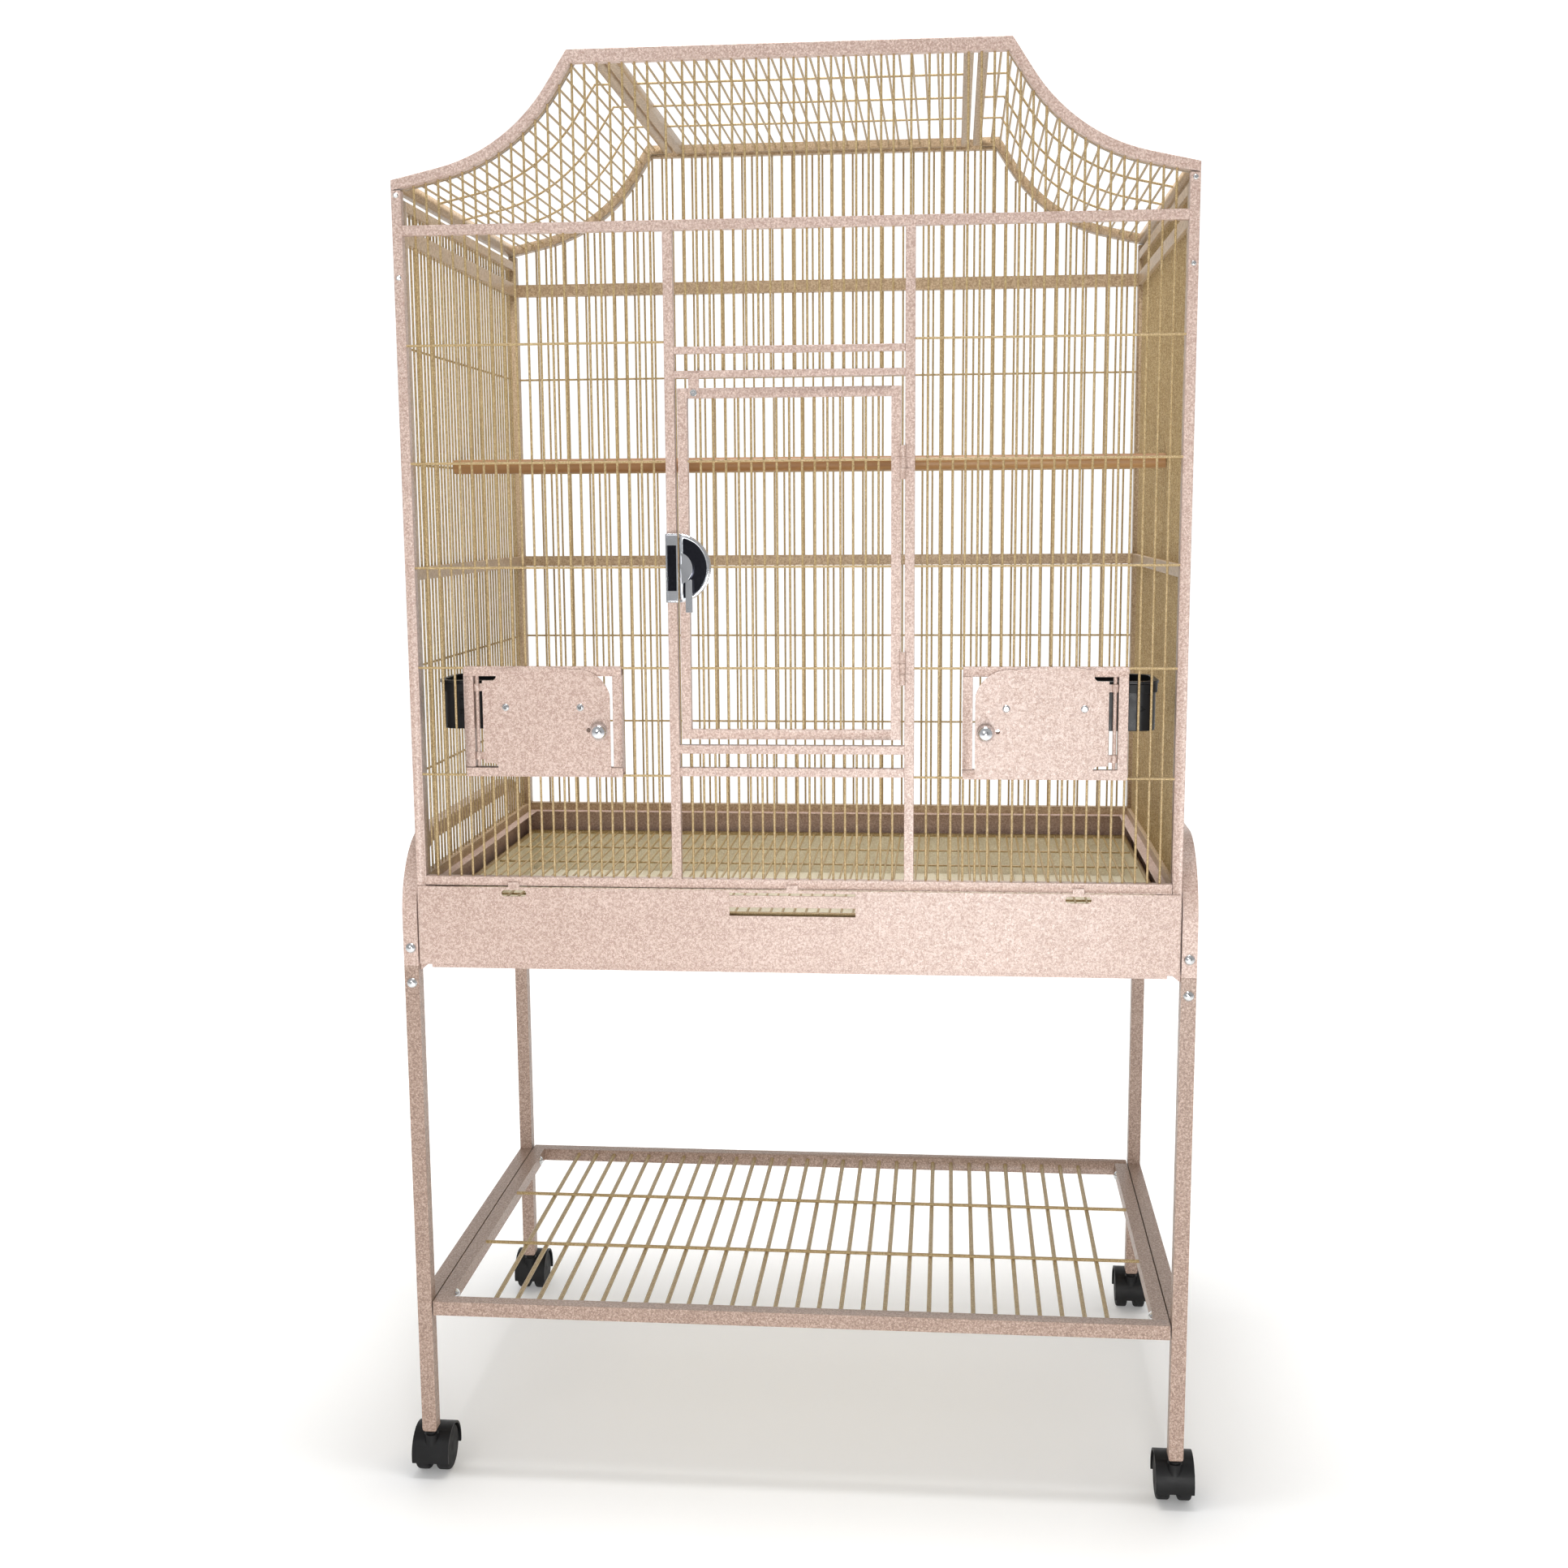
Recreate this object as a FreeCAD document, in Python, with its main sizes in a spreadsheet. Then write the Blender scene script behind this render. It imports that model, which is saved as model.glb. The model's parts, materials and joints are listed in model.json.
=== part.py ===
import FreeCAD, Part
import math
import os
import re

import Sketcher

# A powder-coated steel bird cage on a rolling stand, in millimetres.
#
# +X is to the right, -Y is the front, +Z is up. The origin is on the floor, at the middle of the
# whole object's box. The cage is made of flat welded panels: square tube frames filled with round
# bars, and thinner cross wires on the outside of the bars. It stands on a sheet-metal base with a
# pull-out drawer, which hangs between the two side arches of a stand with a shelf and four casters.

V = FreeCAD.Vector

# Driving sizes. Each one can be changed by itself.
SIZES = {
    # cage
    "cage_w": 813,  # across the corner posts
    "cage_d": 508,  # front face to back face
    "tube": 10,  # square panel tube
    "tube_wall": 1,
    "wire_r": 1.25,  # bars and cross wires
    "bar_pitch": 12.7,  # bar to bar, about
    "cage_bottom_z": 687.5,  # underside of the panels
    "front_rail_z": 1365,  # underside of the rail under the front gable
    "deep_rail": 15,  # height of the back and side panels' upper rail
    "mid_rail": 13,  # height of the back and side panels' middle rail
    "mid_rail_z": 1014,
    "side_top_z": 1401.5,  # top of the side panels
    "wire_z1": 808,  # cross wire levels, from the bottom up
    "wire_z2": 922,
    "wire_z3": 1027,
    "wire_z4": 1135,
    "wire_z5": 1255,
    # roof
    "shoulder_z": 1420,
    "roof_z": 1542,
    "roof_flat": 444,  # width of the flat top
    "roof_band": 13,  # height of the band along the flat top
    "shoulder_slope": 12.5,  # degrees
    "peak_slope": 57,  # degrees
    "roof_bend": 185,  # radius of the sweep between the two slopes
    "seam_x": 186.75,  # middle of the seam between the centre and side roof panels
    "seam_gap": 4.5,
    "roof_wire_gap": 110,  # between the roof's cross wires
    # openings in the front panel
    "mullion_x": 118,  # centre line to the inner face of each mullion
    "lintel_tube": 7,  # the two thin rails above the door
    "lintel_z1": 1219,
    "lintel_z2": 1243,
    "sill_tube": 9,  # the two thin rails below the door
    "sill_z1": 808,
    "sill_z2": 832,
    "feeder_x": 263,  # centre of each feeder opening's frame
    "feeder_w": 169,
    "feeder_z": 806.5,
    "feeder_h": 117,
    # door
    "door_gap": 4,  # hinge side
    "door_play": 3,  # latch side
    "door_bottom_z": 847.5,
    "door_top_z": 1208.5,
    "hinge_h": 34,
    "hinge_r": 3.2,
    "hinge_pin_r": 1.6,
    "pin_play": 0.05,
    "leaf": 1,  # thickness of the hinge leaves
    "hinge_low_z": 905,
    "hinge_high_z": 1115,
    # door latch
    "latch_z": 1026,
    "latch_h": 71,
    "latch_reach": 33,  # half-round plate, from its straight side to its edge
    "latch_plate": 1.5,
    "latch_drop": 10,  # lever's thumb tip below the plate
    "latch_shaft_r": 3,
    "catch_len": 19,
    # turn button over the door's corner
    "button_w": 11,
    "button_h": 24.5,
    "button_t": 1.5,
    "button_x": 97.5,
    # feeder doors
    "plate_t": 1.2,
    "plate_w": 136.5,
    "plate_clear": 0.3,  # between the plate and the frame it closes on
    "plate_lap": 2,  # how much of the frame's own tube shows round the plate
    "plate_arch": 14,  # rise of the plate's top edge
    "plate_corner": 40,  # width of the arched end
    "notch_w": 15,  # cut-outs at the plate's hinge corners
    "notch_h": 4.5,
    "feeder_pin_r": 2,
    "pin_inset": 1.5,  # feeder frame's side to the hinge pin
    "eye_h": 8,
    "eye_wall": 1.3,
    "eye_strap": 6.5,  # hinge pin to the plate's edge
    "knob_r": 9,
    "knob_reach": 16,
    "knob_x": 202,
    "knob_z": 855.5,
    "finger_len": 19,
    "cup_w": 118,
    "cup_d": 84,
    "cup_h": 52,
    "cup_wall": 2,
    "cup_corner": 18,
    "cup_lip": 3,
    "cup_top_z": 908,
    "cup_outer_x": 378,  # outermost side of each cup
    "cup_gap": 4,  # back of the panel to the cup
    "ring_h": 9,
    "ring_t": 1.5,
    "ring_play": 0.4,
    # perch
    "perch_r": 8,
    "perch_y": 186,
    "perch_z": 1136,
    # base and drawer
    "base_h": 87.5,
    "sheet": 1.2,
    "flange": 20,
    "front_clear": 0.3,  # drawer front to base and bottom rail
    "front_play": 1,  # drawer front's edges to the base
    "grip_w": 134,
    "grip_h": 25,
    "grip_drop": 3,  # top edge of the drawer front to the grip cut-out
    "strip_h": 13,
    "tab_x": 300,
    "tab_w": 12,
    "tab_h": 5.5,
    "slot_w": 27,
    "slot_h": 7,
    "tray_inset": 8.5,
    "runner_w": 8,
    "tray_z": 604.5,
    "tray_h": 51,
    "grille_rod_r": 2.5,
    "drawer_sill": 4,
    # stand
    "leg": 16,
    "leg_wall": 1.2,
    "leg_gap": 1.5,  # cage to stand
    "splice_z": 598,
    "splice_len": 66,
    "splice_play": 0.3,
    "arch_z": 740,  # top of the side arches
    "arch_bend": 88,  # outer radius of the arches' bends
    "bolt_r": 3,
    "bolt_head_r": 6,
    "bolt_head": 4,
    "bolt_step": 19.5,  # splice bolts, up and down from the splice
    "gusset": 26,
    "front_gusset": 11,
    "gusset_t": 1.5,
    "shelf_z": 212,
    "shelf_bar_r": 2.6,
    "shelf_wire_r": 2,
    "shelf_bar_pitch": 24.4,
    "shelf_bars": 29,
    "shelf_bolt_y": 40,
    # casters
    "wheel_r": 25,
    "wheel_w": 14.5,
    "wheel_gap": 9,
    "wheel_round": 3,
    "axle_r": 3,
    "axle_play": 0.05,
    "trail": 18,
    "hood_t": 2.5,
    "hood_gap": 0.3,  # top of the hood to the leg's rounded end
    "hood_play": 1.2,
    "hood_w": 42,
    "stem_r": 4,
    "stem_len": 24,
    "stem_play": 0.05,
    "collar_r": 6,
    "cap": 6,  # rounded plastic end under each leg
    "cap_round": 5.5,
}


def work_out(s):
    """Sizes that follow from the driving ones."""
    t, w = s["tube"], s["wire_r"]
    more = {}
    more["post_x"] = s["cage_w"] / 2 - t
    more["bar_in"] = t / 2
    more["wire_in"] = t / 2 - 2 * w
    more["leg_x"] = s["cage_w"] / 2 + s["leg_gap"]
    more["plate_y"] = s["plate_t"] + s["plate_clear"]
    front_reach = more["plate_y"] + s["knob_reach"]
    wheel_y = s["cage_d"] - s["leg"] / 2 + s["trail"]
    back_reach = wheel_y + s["wheel_r"] + s["hood_play"] + s["hood_t"]
    more["front_y"] = -(back_reach - front_reach) / 2
    more["back_y"] = more["front_y"] + s["cage_d"]
    more["wide_bars"] = bars_in(2 * more["post_x"], s["bar_pitch"])
    more["wide_gap"] = 2 * more["post_x"] / (more["wide_bars"] + 1)
    depth = s["cage_d"] - 4 * t
    more["deep_bars"] = bars_in(depth, s["bar_pitch"])
    more["deep_gap"] = depth / (more["deep_bars"] + 1)
    more["seam_in"] = s["seam_x"] - s["seam_gap"] / 2
    more["seam_out"] = s["seam_x"] + s["seam_gap"] / 2
    span = 2 * (more["seam_in"] - t)
    more["top_bars"] = bars_in(span, s["bar_pitch"])
    more["top_gap"] = span / (more["top_bars"] + 1)
    more["door_w"] = 2 * s["mullion_x"] - s["door_gap"] - s["door_play"]
    inside = more["door_w"] - 2 * t
    more["door_bars"] = bars_in(inside, s["bar_pitch"])
    more["door_bar_gap"] = inside / (more["door_bars"] + 1)
    more["base_z"] = s["cage_bottom_z"] - s["base_h"]
    more["hinge_x"] = s["mullion_x"] - s["door_gap"] / 2
    more["hinge_y"] = -s["hinge_r"] - s["plate_clear"]
    more["feeder_pin_x"] = s["feeder_x"] + s["feeder_w"] / 2 - t - s["feeder_pin_r"] - s["pin_inset"]
    more["latch_x"] = s["mullion_x"] - s["door_play"] - t / 2
    more["cup_mid_x"] = s["cup_outer_x"] - s["cup_w"] / 2
    hood_top = 2 * s["wheel_r"] + s["hood_play"] + s["hood_t"]
    more["leg_bottom_z"] = hood_top + s["hood_gap"] + s["cap"]
    more["cup_mid_y"] = s["tube"] + s["cup_gap"] + s["cup_d"] / 2
    more["grille_w"] = s["cage_w"] - 2 * s["sheet"] - 2 * s["tray_inset"]
    more["grille_z"] = s["tray_z"] + s["tray_h"] + s["grille_rod_r"]
    grille_span = more["grille_w"] - 4 * s["grille_rod_r"]
    more["grille_bars"] = bars_in(grille_span, s["bar_pitch"])
    more["grille_gap"] = grille_span / (more["grille_bars"] + 1)
    return more


def bars_in(width, pitch):
    """How many bars fill a width at about this pitch."""
    return round(width / pitch) - 1


s = dict(SIZES)
s.update(work_out(s))

doc = FreeCAD.newDocument("bird_cage")
sheet = doc.addObject("Spreadsheet::Sheet", "Dims")
for row, (alias, number) in enumerate(s.items(), start=1):
    sheet.set(f"A{row}", str(number))
    sheet.setAlias(f"A{row}", alias)
doc.recompute()

nodes = []  # the finished sub-parts, in the order they are made


# ---------------------------------------------------------------- helpers


def bound(text):
    """'cage_w / 2' becomes the sheet expression 'Dims.cage_w / 2'."""
    return re.sub(r"[a-z][a-z0-9_]*", r"Dims.\g<0>", str(text))


def put(piece, at, turn=None):
    """Place a piece by three expressions, after an optional turn (axis, degrees)."""
    if turn:
        piece.Placement = FreeCAD.Placement(V(), FreeCAD.Rotation(*turn))
    for axis, text in zip("xyz", at):
        piece.setExpression("Placement.Base." + axis, bound(text))
    return piece


def box(at, dims):
    """A block from its lowest corner and its three sizes."""
    piece = doc.addObject("Part::Box", "Block")
    for side, text in zip(("Length", "Width", "Height"), dims):
        piece.setExpression(side, bound(text))
    return put(piece, at)


ALONG = {"x": (V(0, 1, 0), 90), "y": (V(1, 0, 0), -90), "z": None}


def rod(axis, at, length, radius="wire_r"):
    """A round rod that starts at a point and runs along +X, +Y or +Z."""
    piece = doc.addObject("Part::Cylinder", "Rod")
    piece.setExpression("Height", bound(length))
    piece.setExpression("Radius", bound(radius))
    return put(piece, at, ALONG[axis])


def cut(base, tool):
    piece = doc.addObject("Part::Cut", "Cut")
    piece.Base = base
    piece.Tool = tool
    return piece


def fuse(pieces):
    piece = doc.addObject("Part::MultiFuse", "Fuse")
    piece.Shapes = pieces
    return piece


def group(pieces):
    """Several solids in one node."""
    piece = doc.addObject("Part::Compound", "Group")
    piece.Links = pieces
    return piece


def tube(axis, at, dims, wall="tube_wall"):
    """A square tube: a block with a smaller block taken out along its axis."""
    inner_at, inner_dims = [], []
    for name, start, size in zip("xyz", at, dims):
        inner_at.append(start if name == axis else f"({start}) + {wall}")
        inner_dims.append(size if name == axis else f"({size}) - 2 * {wall}")
    return cut(box(at, dims), box(inner_at, inner_dims))


def side_low(side, near, far):
    """Lowest X of a piece that lies between two distances from the middle."""
    return near if side == "right" else f"-({far})"


def plane_of(body, role):
    return next(f for f in body.Origin.OriginFeatures if f.Role == role)


def sketch_on(body, role):
    sketch = body.newObject("Sketcher::SketchObject", "Outline")
    sketch.AttachmentSupport = [(plane_of(body, role), "")]
    sketch.MapMode = "FlatFace"
    return sketch


def bar_row(at, turn, length, gap, count, radius="wire_r"):
    """A row of equal bars: one bar padded along the body's Z, repeated along its X."""
    body = doc.addObject("PartDesign::Body", "BarRow")
    sketch = sketch_on(body, "XY_Plane")
    sketch.addGeometry(Part.Circle(V(), V(0, 0, 1), 1), False)
    sketch.addConstraint(Sketcher.Constraint("Coincident", 0, 3, -1, 1))
    sketch.addConstraint(Sketcher.Constraint("Radius", 0, 1))
    sketch.setExpression("Constraints[1]", bound(radius))
    bar = body.newObject("PartDesign::Pad", "Bar")
    bar.Profile = sketch
    bar.setExpression("Length", bound(length))
    row = body.newObject("PartDesign::LinearPattern", "Row")
    row.Originals = [bar]
    row.Direction = (plane_of(body, "X_Axis"), [""])
    row.Mode = "Spacing"
    row.setExpression("Offset", bound(gap))
    row.setExpression("Occurrences", bound(count))
    body.Tip = row
    return put(body, at, turn)


UPRIGHT = None
UPRIGHT_ALONG_Y = (V(0, 0, 1), 90)
LYING_ALONG_Y = (V(1, 0, 0), -90)


def shaped(solids):
    """A sub-part whose shape is worked out in code, because no primitive or sketch suits it."""
    piece = doc.addObject("Part::Feature", "Shaped")
    piece.Shape = solids[0] if len(solids) == 1 else Part.Compound(solids)
    return piece


def name(piece, label):
    """Finish a sub-part: its label is the name of its node and of its file."""
    piece.Label = label
    nodes.append(piece)
    return piece


def straight(start, end, radius):
    """A round rod between two points."""
    return Part.makeCylinder(radius, start.distanceToPoint(end), start, end - start)


# ---------------------------------------------------------------- roof outline


class RoofLine:
    """The roof's outline in the XZ plane, right half, drawn `depth` below the outer surface.

    From the shoulder it rises at a gentle slope, sweeps up round an arc whose centre is outside the
    cage, and meets the flat top at a steep slope.
    """

    def __init__(self, depth):
        low, high = math.radians(s["shoulder_slope"]), math.radians(s["peak_slope"])
        self.low, self.high, self.depth = low, high, depth
        run = s["cage_w"] / 2 - s["roof_flat"] / 2
        rise = s["roof_z"] - s["shoulder_z"]
        bend = s["roof_bend"]
        run -= bend * (math.sin(high) - math.sin(low))
        rise -= bend * (math.cos(low) - math.cos(high))
        scale = math.cos(low) * math.sin(high) - math.sin(low) * math.cos(high)
        gentle = (run * math.sin(high) - rise * math.cos(high)) / scale
        start_x = s["cage_w"] / 2 - gentle * math.cos(low)
        start_z = s["shoulder_z"] + gentle * math.sin(low)
        self.centre = (start_x + bend * math.sin(low), start_z + bend * math.cos(low))
        self.radius = bend + depth
        self.bottom = self.on_arc(low)
        self.top = self.on_arc(high)

    def on_arc(self, slope):
        x, z = self.centre
        return (x - self.radius * math.sin(slope), z - self.radius * math.cos(slope))

    def height(self, x):
        """Z of the line at a distance x from the middle, on the sloping part."""
        if x >= self.bottom[0]:
            return self.bottom[1] - (x - self.bottom[0]) * math.tan(self.low)
        if x <= self.top[0]:
            return self.top[1] + (self.top[0] - x) * math.tan(self.high)
        return self.centre[1] - math.sqrt(self.radius**2 - (x - self.centre[0]) ** 2)

    def corner(self, flat_depth):
        """X where the steep slope meets the flat top drawn flat_depth below its outer surface."""
        return self.top[0] - (s["roof_z"] - flat_depth - self.top[1]) / math.tan(self.high)

    def edges(self, outer_x, flat_depth):
        """Line, arc and line from outer_x up to the corner with the flat top."""
        foot = V(outer_x, 0, self.height(outer_x))
        head = V(self.corner(flat_depth), 0, s["roof_z"] - flat_depth)
        low, high = V(self.bottom[0], 0, self.bottom[1]), V(self.top[0], 0, self.top[1])
        middle = self.on_arc((self.low + self.high) / 2)
        arc = Part.Arc(low, V(middle[0], 0, middle[1]), high)
        return [Part.LineSegment(foot, low), arc, Part.LineSegment(high, head)]

    def spots(self, outer_x, inner_x, pitch):
        """Evenly spaced points on the line, from outer_x up and along the flat top to inner_x."""
        path = [e.toShape() for e in self.edges(outer_x, self.depth)]
        head = V(self.corner(self.depth), 0, s["roof_z"] - self.depth)
        path.append(Part.LineSegment(head, V(inner_x, 0, head.z)).toShape())
        wire = Part.Wire(path)
        steps = round(wire.Length / pitch)
        return wire.discretize(Number=steps + 1)[1:-1]


def mirrored(shape, side):
    """The shape as drawn for the right, or its mirror image for the left."""
    return shape if side == "right" else shape.mirror(V(), V(1, 0, 0))


def band(outer_x, flat_end, flat_depth, y, depth):
    """Curved tube of the roof's edge: from outer_x to the corner, and on along the flat top.

    flat_end None ends it at the corner with a mitre, for the band that carries the flat top.
    """
    outside = RoofLine(0).edges(outer_x, 0)
    inside = RoofLine(s["tube"]).edges(outer_x, flat_depth)
    corner, inner = outside[-1].EndPoint, inside[-1].EndPoint
    if flat_end is None:
        turns = [corner, inner]
    else:
        turns = [corner, V(flat_end, 0, corner.z), V(flat_end, 0, inner.z), inner]
    ends = [Part.LineSegment(a, b) for a, b in zip(turns, turns[1:])]
    close = [Part.LineSegment(inside[0].StartPoint, outside[0].StartPoint)]
    wire = Part.Wire(Part.__sortEdges__([e.toShape() for e in outside + ends + inside + close]))
    solid = Part.Face(wire).extrude(V(0, depth, 0))
    solid.translate(V(0, y, 0))
    return solid


def roof_band(y, label):
    """Roof edge of the front or back panel: two curved bands and a flat one between them."""
    curved = band(s["cage_w"] / 2, None, s["roof_band"], y, s["tube"])
    outer = s["roof_flat"] / 2
    inner = RoofLine(s["tube"]).corner(s["roof_band"])
    low = s["roof_z"] - s["roof_band"]
    turns = [V(-outer, y, s["roof_z"]), V(outer, y, s["roof_z"]), V(inner, y, low), V(-inner, y, low)]
    flat = Part.Face(Part.makePolygon(turns + turns[:1])).extrude(V(0, s["tube"], 0))
    name(shaped([curved, mirrored(curved, "left"), flat]), label)


def gable_top(x):
    """Underside of the roof's edge band above a bar at x."""
    x = abs(x) + s["wire_r"]
    under = RoofLine(s["tube"]).height(x)
    return min(under, s["roof_z"] - s["roof_band"])


# ---------------------------------------------------------------- cage panels


def columns(low, high):
    """X of the bars that fill the space between two uprights."""
    count = bars_in(high - low, s["bar_pitch"])
    step = (high - low) / (count + 1)
    return [low + step * (i + 1) for i in range(count)]


def post(x, y):
    """Corner post, up to the underside of the roof's curved band."""
    top = RoofLine(s["tube"]).height(s["cage_w"] / 2)
    bottom = s["cage_bottom_z"]
    side, wall = s["tube"], s["tube_wall"]
    outer = Part.makeBox(side, side, top - bottom, V(x, y, bottom))
    inner = Part.makeBox(side - 2 * wall, side - 2 * wall, top - bottom, V(x + wall, y + wall, bottom))
    return outer.cut(inner)


def posts(y):
    half = s["cage_w"] / 2
    return shaped([post(-half, y), post(half - s["tube"], y)])


def rail(z, y, height="tube", near="-post_x", length="2 * post_x"):
    """A level tube of the front or back panel."""
    return tube("x", (near, y, z), (length, "tube", height))


def front_frame():
    y = "front_y"
    tall = "front_rail_z - cage_bottom_z - tube"
    pieces = [posts(s["front_y"])]
    pieces.append(rail("cage_bottom_z", y))
    pieces.append(rail("front_rail_z", y))
    for side in ("left", "right"):
        x = side_low(side, "mullion_x", "mullion_x + tube")
        pieces.append(tube("z", (x, y, "cage_bottom_z + tube"), ("tube", "tube", tall)))
    for z, height in (
        ("sill_z1", "sill_tube"),
        ("sill_z2", "sill_tube"),
        ("lintel_z1", "lintel_tube"),
        ("lintel_z2", "lintel_tube"),
    ):
        pieces.append(rail(z, y, height, "-mullion_x", "2 * mullion_x"))
    for side in ("left", "right"):
        pieces += feeder_frame(side)
    pieces.append(feeder_pins())
    name(group(pieces), "front_frame")


def feeder_frame(side):
    """Four tubes round a feeder opening."""
    x = side_low(side, "feeder_x - feeder_w / 2", "feeder_x + feeder_w / 2")
    top = "feeder_z + feeder_h - tube"
    inner_h = "feeder_h - 2 * tube"
    far = f"({x}) + feeder_w - tube"
    return [
        tube("x", (x, "front_y", "feeder_z"), ("feeder_w", "tube", "tube")),
        tube("x", (x, "front_y", top), ("feeder_w", "tube", "tube")),
        tube("z", (x, "front_y", "feeder_z + tube"), ("tube", "tube", inner_h)),
        tube("z", (far, "front_y", "feeder_z + tube"), ("tube", "tube", inner_h)),
    ]


def front_bars():
    """Bars of the front panel: they stop at every rail, the door opening and the feeder frames."""
    y = s["front_y"] + s["bar_in"]
    low, high = s["cage_bottom_z"] + s["tube"], s["front_rail_z"]
    gable = high + s["tube"]
    feeder_low, feeder_high = s["feeder_z"], s["feeder_z"] + s["feeder_h"]
    reach = s["feeder_w"] / 2 + s["wire_r"]
    outer = columns(s["mullion_x"] + s["tube"], s["post_x"])
    middle = columns(-s["mullion_x"], s["mullion_x"])
    runs = []
    for x in [-v for v in outer] + outer:
        if abs(abs(x) - s["feeder_x"]) < reach:
            runs += [(x, low, feeder_low), (x, feeder_high, high)]
        else:
            runs.append((x, low, high))
    for x in middle:
        runs.append((x, low, s["sill_z1"]))
        runs.append((x, s["sill_z1"] + s["sill_tube"], s["sill_z2"]))
        runs.append((x, s["lintel_z1"] + s["lintel_tube"], s["lintel_z2"]))
        runs.append((x, s["lintel_z2"] + s["lintel_tube"], high))
    mullion = s["mullion_x"] + s["tube"] / 2
    for x in [-v for v in outer] + [-mullion] + middle + [mullion] + outer:
        runs.append((x, gable, gable_top(x)))
    bars = [straight(V(x, y, a), V(x, y, b), s["wire_r"]) for x, a, b in runs]
    name(shaped(bars + front_cross_wires()), "front_bars")


def front_cross_wires():
    """Cross wires on the outside of the front bars, broken by the feeder frames."""
    y = s["front_y"] + s["wire_in"]
    near, far = s["mullion_x"] + s["tube"], s["post_x"]
    inner, outer = s["feeder_x"] - s["feeder_w"] / 2, s["feeder_x"] + s["feeder_w"] / 2
    runs = [(z, near, far) for z in (s["wire_z3"], s["wire_z4"], s["wire_z5"])]
    for z in (s["wire_z1"], s["wire_z2"]):
        runs += [(z, near, inner), (z, outer, far)]
    wires = []
    for z, a, b in runs:
        for sign in (-1, 1):
            wires.append(straight(V(sign * a, y, z), V(sign * b, y, z), s["wire_r"]))
    return wires


def back_frame():
    y = "back_y - tube"
    pieces = [posts(s["back_y"] - s["tube"])]
    pieces.append(rail("cage_bottom_z", y))
    pieces.append(rail("mid_rail_z", y, "mid_rail"))
    pieces.append(rail("front_rail_z - deep_rail + tube", y, "deep_rail"))
    name(group(pieces), "back_frame")


def back_bars():
    at_y = "back_y - bar_in"
    low, mid = "cage_bottom_z + tube", "mid_rail_z + mid_rail"
    upper = "front_rail_z - deep_rail + tube"
    first = "-post_x + wide_gap"
    pieces = [
        bar_row((first, at_y, low), UPRIGHT, f"mid_rail_z - ({low})", "wide_gap", "wide_bars"),
        bar_row((first, at_y, mid), UPRIGHT, f"{upper} - ({mid})", "wide_gap", "wide_bars"),
    ]
    y, gable = s["back_y"] - s["bar_in"], s["front_rail_z"] + s["tube"]
    xs = [-s["post_x"] + s["wide_gap"] * (i + 1) for i in range(s["wide_bars"])]
    bars = [straight(V(x, y, gable), V(x, y, gable_top(x)), s["wire_r"]) for x in xs]
    pieces.append(shaped(bars))
    for z in ("wire_z1", "wire_z2", "wire_z4", "wire_z5"):
        pieces.append(rod("x", ("-post_x", "back_y - wire_in", z), "2 * post_x"))
    name(group(pieces), "back_bars")


def side_frame(side):
    """Side panel frame, between the corner posts: two stiles and four rails."""
    x = side_low(side, "post_x", "cage_w / 2")
    tall = "side_top_z - cage_bottom_z"
    inner_y, inner_d = "front_y + 2 * tube", "cage_d - 4 * tube"
    pieces = []
    for y in ("front_y + tube", "back_y - 2 * tube"):
        pieces.append(tube("z", (x, y, "cage_bottom_z"), ("tube", "tube", tall)))
    for z, height in (
        ("cage_bottom_z", "tube"),
        ("mid_rail_z", "mid_rail"),
        ("front_rail_z - deep_rail + tube", "deep_rail"),
        ("side_top_z - tube", "tube"),
    ):
        pieces.append(tube("y", (x, inner_y, z), ("tube", inner_d, height)))
    name(group(pieces), f"{side}_frame")


def side_bars(side):
    sign = "-" if side == "left" else ""
    x, outer = f"{sign}(post_x + bar_in)", f"{sign}(cage_w / 2 - wire_in)"
    start = "front_y + 2 * tube"
    upper = "front_rail_z - deep_rail + tube"
    pieces = []
    for low, high in (
        ("cage_bottom_z + tube", "mid_rail_z"),
        ("mid_rail_z + mid_rail", upper),
        ("front_rail_z + tube", "side_top_z - tube"),
    ):
        at = (x, f"{start} + deep_gap", low)
        pieces.append(bar_row(at, UPRIGHT_ALONG_Y, f"{high} - ({low})", "deep_gap", "deep_bars"))
    for z in ("wire_z1", "wire_z2", "wire_z4", "wire_z5"):
        pieces.append(rod("y", (outer, start, z), "cage_d - 4 * tube"))
    name(group(pieces), f"{side}_bars")


# ---------------------------------------------------------------- roof panels


def roof_center():
    near, length = "-seam_in", "2 * seam_in"
    z, low = "roof_z - tube", "front_y + tube"
    inner = ("-seam_in + tube", "2 * seam_in - 2 * tube")
    pieces = []
    for x in (near, "seam_in - tube"):
        pieces.append(tube("y", (x, low, z), ("tube", "cage_d - 2 * tube", "tube")))
    for y in (low, "back_y - 2 * tube"):
        pieces.append(tube("x", (inner[0], y, z), (inner[1], "tube", "tube")))
    name(group(pieces), "roof_center_frame")
    at = ("-seam_in + tube + top_gap", "front_y + 2 * tube", "roof_z - bar_in")
    bars = [bar_row(at, LYING_ALONG_Y, "cage_d - 4 * tube", "top_gap", "top_bars")]
    for step in (-1, 0, 1):
        y = f"front_y + cage_d / 2 + {step} * roof_wire_gap"
        bars.append(rod("x", (inner[0], y, "roof_z - wire_in"), inner[1]))
    name(group(bars), "roof_center_bars")


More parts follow.
